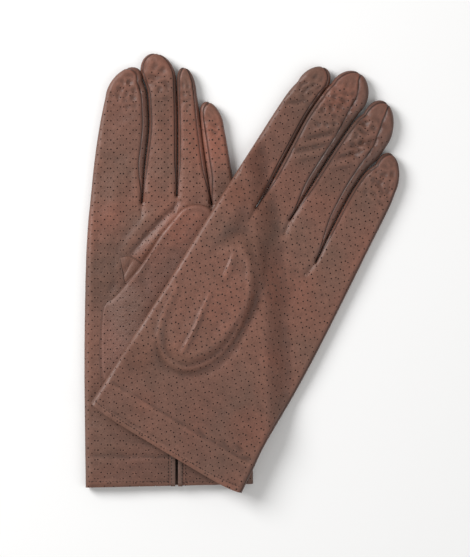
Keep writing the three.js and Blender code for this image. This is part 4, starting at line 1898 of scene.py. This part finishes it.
def right_glove() -> Glove:
    """The upper glove, back up, turned across the lower one.

    Returns:
        The glove.
    """
    k0, c1, c2, c3, k4 = (-45.7, 141.0), (-26.3, 139.2), (-6.7, 143.1), (17.4, 130.0), (40.9, 125.0)
    index = Finger(
        Body.INDEX,
        (k0, (-45.2, 161.0), (-44.8, 177.0), (-44.2, 192.9), (-43.4, 204.0), (-42.0, 211.0)),
        (c1, (-26.3, 155.7), (-27.1, 177.0), (-27.9, 197.0), (-26.9, 213.0), (-25.9, 217.0)),
        (-34.8, 224.6),
        show_right=(0.15, 1.5, 1.6),
    )
    middle = Finger(
        Body.MIDDLE,
        (c1, (-26.0, 156.0), (-27.0, 177.0), (-27.9, 197.0), (-26.8, 214.0), (-25.6, 219.5)),
        (c2, (-6.3, 169.0), (-5.6, 190.0), (-4.4, 207.0), (-3.0, 218.0)),
        (-14.5, 232.2),
        show_left=(0.15, 1.7, 1.8),
        show_right=(0.3, 3.2, 7.0),
    )
    ring = Finger(
        Body.RING,
        (c2, (-6.0, 169.0), (-5.3, 190.0), (-4.1, 207.0), (-1.8, 214.5)),
        ((17.4, 130.0), (15.5, 150.0), (14.4, 171.0), (15.2, 186.0), (18.0, 197.0), (18.6, 208.0)),
        (7.4, 225.4),
        show_left=(0.15, 1.7, 1.8),
        show_right=(0.3, 4.2, 9.0),
    )
    little = Finger(
        Body.LITTLE,
        ((17.4, 130.0), (15.8, 150.0), (14.7, 171.0), (15.5, 186.0), (18.3, 193.5)),
        (k4, (39.0, 149.5), (37.1, 175.4), (35.4, 187.0)),
        (25.0, 202.5),
    )
    return Glove(
        name="right",
        palm_up=False,
        lay=Lay((-40.5, -97.0), -30.7, True),
        index_side=((-49.4, 0.6), (-48.6, 34.0), (-47.1, 72.0), (-46.6, 110.0), k0),
        little_side=((47.0, 0.2), (45.9, 14.0), (44.5, 30.0), (44.5, 60.0), (43.3, 90.0), k4),
        crotches=(c1, c2, c3),
        fingers=(index, middle, ring, little),
        side_seam=2.2,
        cuff_sag=2.2,
        folds=(
            Crease((-23.6, 110.5), (-21.0, 97.0), 0.95, 1.1),
            Crease((-24.0, 86.0), (-22.2, 70.0), 0.65, 1.3),
            Crease((-22.6, 74.0), (-20.5, 49.5), 1.05, 1.0, 0.5),
            Rim(
                (
                    (-41.5, 80.0), (-39.5, 62.0), (-36.2, 51.9), (-29.0, 44.0),
                    (-20.4, 41.8), (-11.2, 45.2), (-3.0, 57.3), (-0.4, 73.3),
                    (-4.0, 93.6), (-13.5, 109.5), (-21.9, 116.8),
                ),
                0.86,
                1.4,
            ),
            Rim(
                (
                    (-14.0, 40.0), (-5.0, 45.5), (1.5, 58.0), (3.0, 74.0),
                    (-0.8, 95.5), (-10.5, 112.0), (-19.0, 120.0),
                ),
                -0.50,
                1.9,
            ),
            Crease((-31.0, 83.0), (-28.0, 56.0), -0.45, 3.5),
            Crease((-13.0, 92.0), (-11.0, 60.0), -0.35, 4.0),
            Crease((2.0, 132.0), (6.0, 96.0), 0.40, 5.0),
            Crease((12.0, 122.0), (17.5, 100.0), -0.35, 4.0),
            Crease((8.0, 19.4), (14.8, 15.4), -0.40, 1.4),
            Crease((22.0, 19.6), (28.8, 17.6), -0.40, 1.3),
            Crease((31.0, 22.0), (36.0, 19.6), -0.50, 1.3),
            Crease((37.0, 17.6), (42.5, 19.0), -0.75, 1.2),
            Crease((30.7, 45.8), (36.7, 43.8), -0.35, 1.5),
            Crease((40.2, 58.0), (43.2, 61.0), -0.40, 1.4),
            Crease((-26.3, 139.5), (-25.8, 131.0), -0.90, 1.1),
            Crease((-6.7, 143.4), (-5.6, 134.0), -1.00, 1.2),
            Crease((17.4, 130.5), (15.6, 121.0), -1.10, 1.4),
            Crease((-24.0, 177.0), (-9.0, 190.5), -1.05, 1.2),
            Crease((-23.0, 173.0), (-9.0, 185.0), 0.70, 1.4),
            Crease((-22.0, 186.0), (-8.0, 198.0), -0.90, 1.2),
            Crease((-20.0, 193.0), (-8.0, 203.0), 0.80, 1.3),
            Crease((-2.0, 186.0), (9.0, 196.0), -1.00, 1.2),
            Crease((-1.0, 181.0), (9.0, 190.0), 0.65, 1.4),
            Crease((1.0, 194.0), (11.0, 204.0), -1.10, 1.2),
            Crease((-43.0, 196.0), (-31.0, 205.0), -0.80, 1.2),
            Crease((-42.0, 202.0), (-30.0, 211.0), 0.45, 1.4),
            Crease((22.0, 186.0), (33.0, 181.0), -0.70, 1.3),
            Crease((22.0, 178.0), (34.0, 173.0), 0.35, 1.7),
        ),
        crumples=(
            Crumple((-16.0, 209.0), 20.0, 1.05, 8.0, 21),
            Crumple((6.0, 203.0), 20.0, 0.95, 8.0, 22),
            Crumple((26.0, 187.0), 15.0, 0.80, 7.5, 23),
            Crumple((-35.0, 210.0), 14.0, 0.80, 7.0, 24),
        ),
        vent=-4.1,
        warm_spots=(((-22.0, 84.0), 40.0, 0.25), ((-18.0, 214.0), 16.0, 0.40), ((10.0, 112.0), 20.0, 0.35)),
        # Painted shade over the fingers and the cuff.
        painted_shade_spots=(((-10.0, 195.0), 62.0, 0.34), ((14.0, 26.0), 46.0, 0.24), ((-36.0, 14.0), 34.0, 0.18)),
        lattice=(-52.0, -8.0),
        seed=202,
    )


def left_thumb(glove: Glove) -> ThumbSleeve:
    """The lower glove's thumb, folded over its palm.

    Args:
        glove: The glove.

    Returns:
        The thumb.
    """
    fold = ((-34.3, 101.4), (-30.0, 104.5), (-22.6, 113.0), (-13.0, 125.5), (-4.0, 139.6), (3.4, 148.6))
    seam = (
        (-36.8, 54.9), (-27.0, 64.0), (-12.5, 82.0), (-1.5, 98.8),
        (9.6, 115.5), (20.0, 131.0), (24.6, 139.3),
    )
    root = ((-34.3, 101.4), (-36.8, 97.2), (-37.9, 86.5), (-38.2, 72.0), (-37.9, 61.0), (-36.8, 54.9))
    tube = Finger(Body.THUMB, fold, seam, (20.3, 154.3), bare_tip=0.93)
    return ThumbSleeve(glove, tube, root, 6.25, 9.35, 0.40, 2.25, (0.575, 0.818))


def right_thumb(glove: Glove) -> ThumbSleeve:
    """The upper glove's thumb, folded under its palm.

    Args:
        glove: The glove.

    Returns:
        The thumb.
    """
    fold = ((-40.5, 50.0), (-36.5, 66.0), (-30.5, 86.0), (-26.8, 109.0))
    seam = ((-18.0, 40.0), (-13.0, 64.0), (-9.5, 84.0), (-7.0, 107.0))
    root = ((-40.5, 50.0), (-38.0, 42.0), (-31.0, 35.5), (-23.0, 35.0), (-18.0, 40.0))
    tube = Finger(Body.THUMB, fold, seam, (-15.0, 119.5), bare_tip=0.93)
    return ThumbSleeve(glove, tube, root, 12.05, 9.40, 0.35, 2.25, (0.167, 0.986))


@dataclass(frozen=True)
class Pair:
    """Both gloves, with all their parts."""

    def build(self, shop: Workshop) -> None:
        """Makes the lower glove, then the upper one.

        Args:
            shop: Finishes and tools.
        """
        left, right = left_glove(), right_glove()
        for glove in (left, right):
            roots = tuple(FingerSleeve(glove, finger).build(shop) for finger in glove.fingers)
            HandSheet(glove, roots).build(shop)
        left_thumb(left).build(shop)
        right_thumb(right).build(shop)
        WristTape(left, 12.0, 42.0).build(shop)
        WristTape(right, 10.0, 38.0).build(shop)
        leaf = (
            (-27.4, 126.3), (-21.9, 126.8), (-15.2, 121.6),
            (-19.5, 116.4), (-24.1, 111.9), (-25.7, 116.3),
        )
        QuirkLeaf(left, leaf, (-24.6, 124.2)).build(shop)
        hidden = ((-38.0, 78.0), (-31.0, 80.0), (-26.0, 73.0), (-30.0, 66.0), (-37.0, 68.0))
        QuirkLeaf(right, hidden, (-32.0, 74.0)).build(shop)


@dataclass(frozen=True)
class Studio:
    """A pale floor, soft light from above, and a camera that looks straight down."""

    height: float = 1.6
    seen: float = 0.308  # height of the frame on the table, in metres
    centre: Point = (-0.0036, -0.0030)

    def floor(self) -> None:
        """A large plain floor."""
        mesh = bpy.data.meshes.new("pale_floor")
        half = 3.0
        corners = [(-half, -half, 0), (half, -half, 0), (half, half, 0), (-half, half, 0)]
        mesh.from_pydata(corners, [], [(0, 1, 2, 3)])
        material = bpy.data.materials.new("pale_floor")
        material.use_nodes = True
        shader = material.node_tree.nodes["Principled BSDF"]
        shader.inputs["Base Color"].default_value = (0.92, 0.92, 0.92, 1)
        shader.inputs["Roughness"].default_value = 0.9
        mesh.materials.append(material)
        in_scene("pale_floor", mesh)

    def lights(self) -> None:
        """A soft key from the upper left, a broad fill, and light from all round."""
        world = bpy.data.worlds.new("studio")
        bpy.context.scene.world = world
        world.use_nodes = True
        back = world.node_tree.nodes["Background"]
        back.inputs[0].default_value = (1.0, 0.99, 0.97, 1)
        back.inputs[1].default_value = 0.38
        for name, place, size, power in (
            ("key", (-1.0, 0.6, 0.85), 0.8, 21.0),
            ("fill", (0.9, -0.5, 1.3), 1.4, 6.0),
        ):
            light = bpy.data.lights.new(name, "AREA")
            light.shape, light.size, light.energy = "DISK", size, power
            made = in_scene(name, light)
            made.location = place
            made.rotation_euler = (-Vector(place)).to_track_quat("-Z", "Y").to_euler()

    def camera(self) -> None:
        """The camera, above the middle of the pair."""
        lens = bpy.data.cameras.new("camera")
        lens.sensor_fit, lens.sensor_height = "VERTICAL", 36.0
        lens.lens = 36.0 * self.height / self.seen
        made = in_scene("camera", lens)
        made.location = (*self.centre, self.height)
        bpy.context.scene.camera = made
        bpy.context.scene.view_settings.view_transform = "Standard"


def main() -> None:
    """Builds the studio and the pair."""
    logging.basicConfig(level=logging.INFO, format="%(name)s: %(message)s")
    studio = Studio()
    studio.floor()
    studio.lights()
    studio.camera()
    finishes = Finishes()
    shop = Workshop(finishes, SheetMaker(finishes), Stitcher(finishes.thread))
    Pair().build(shop)


if __name__ == "__main__":
    main()
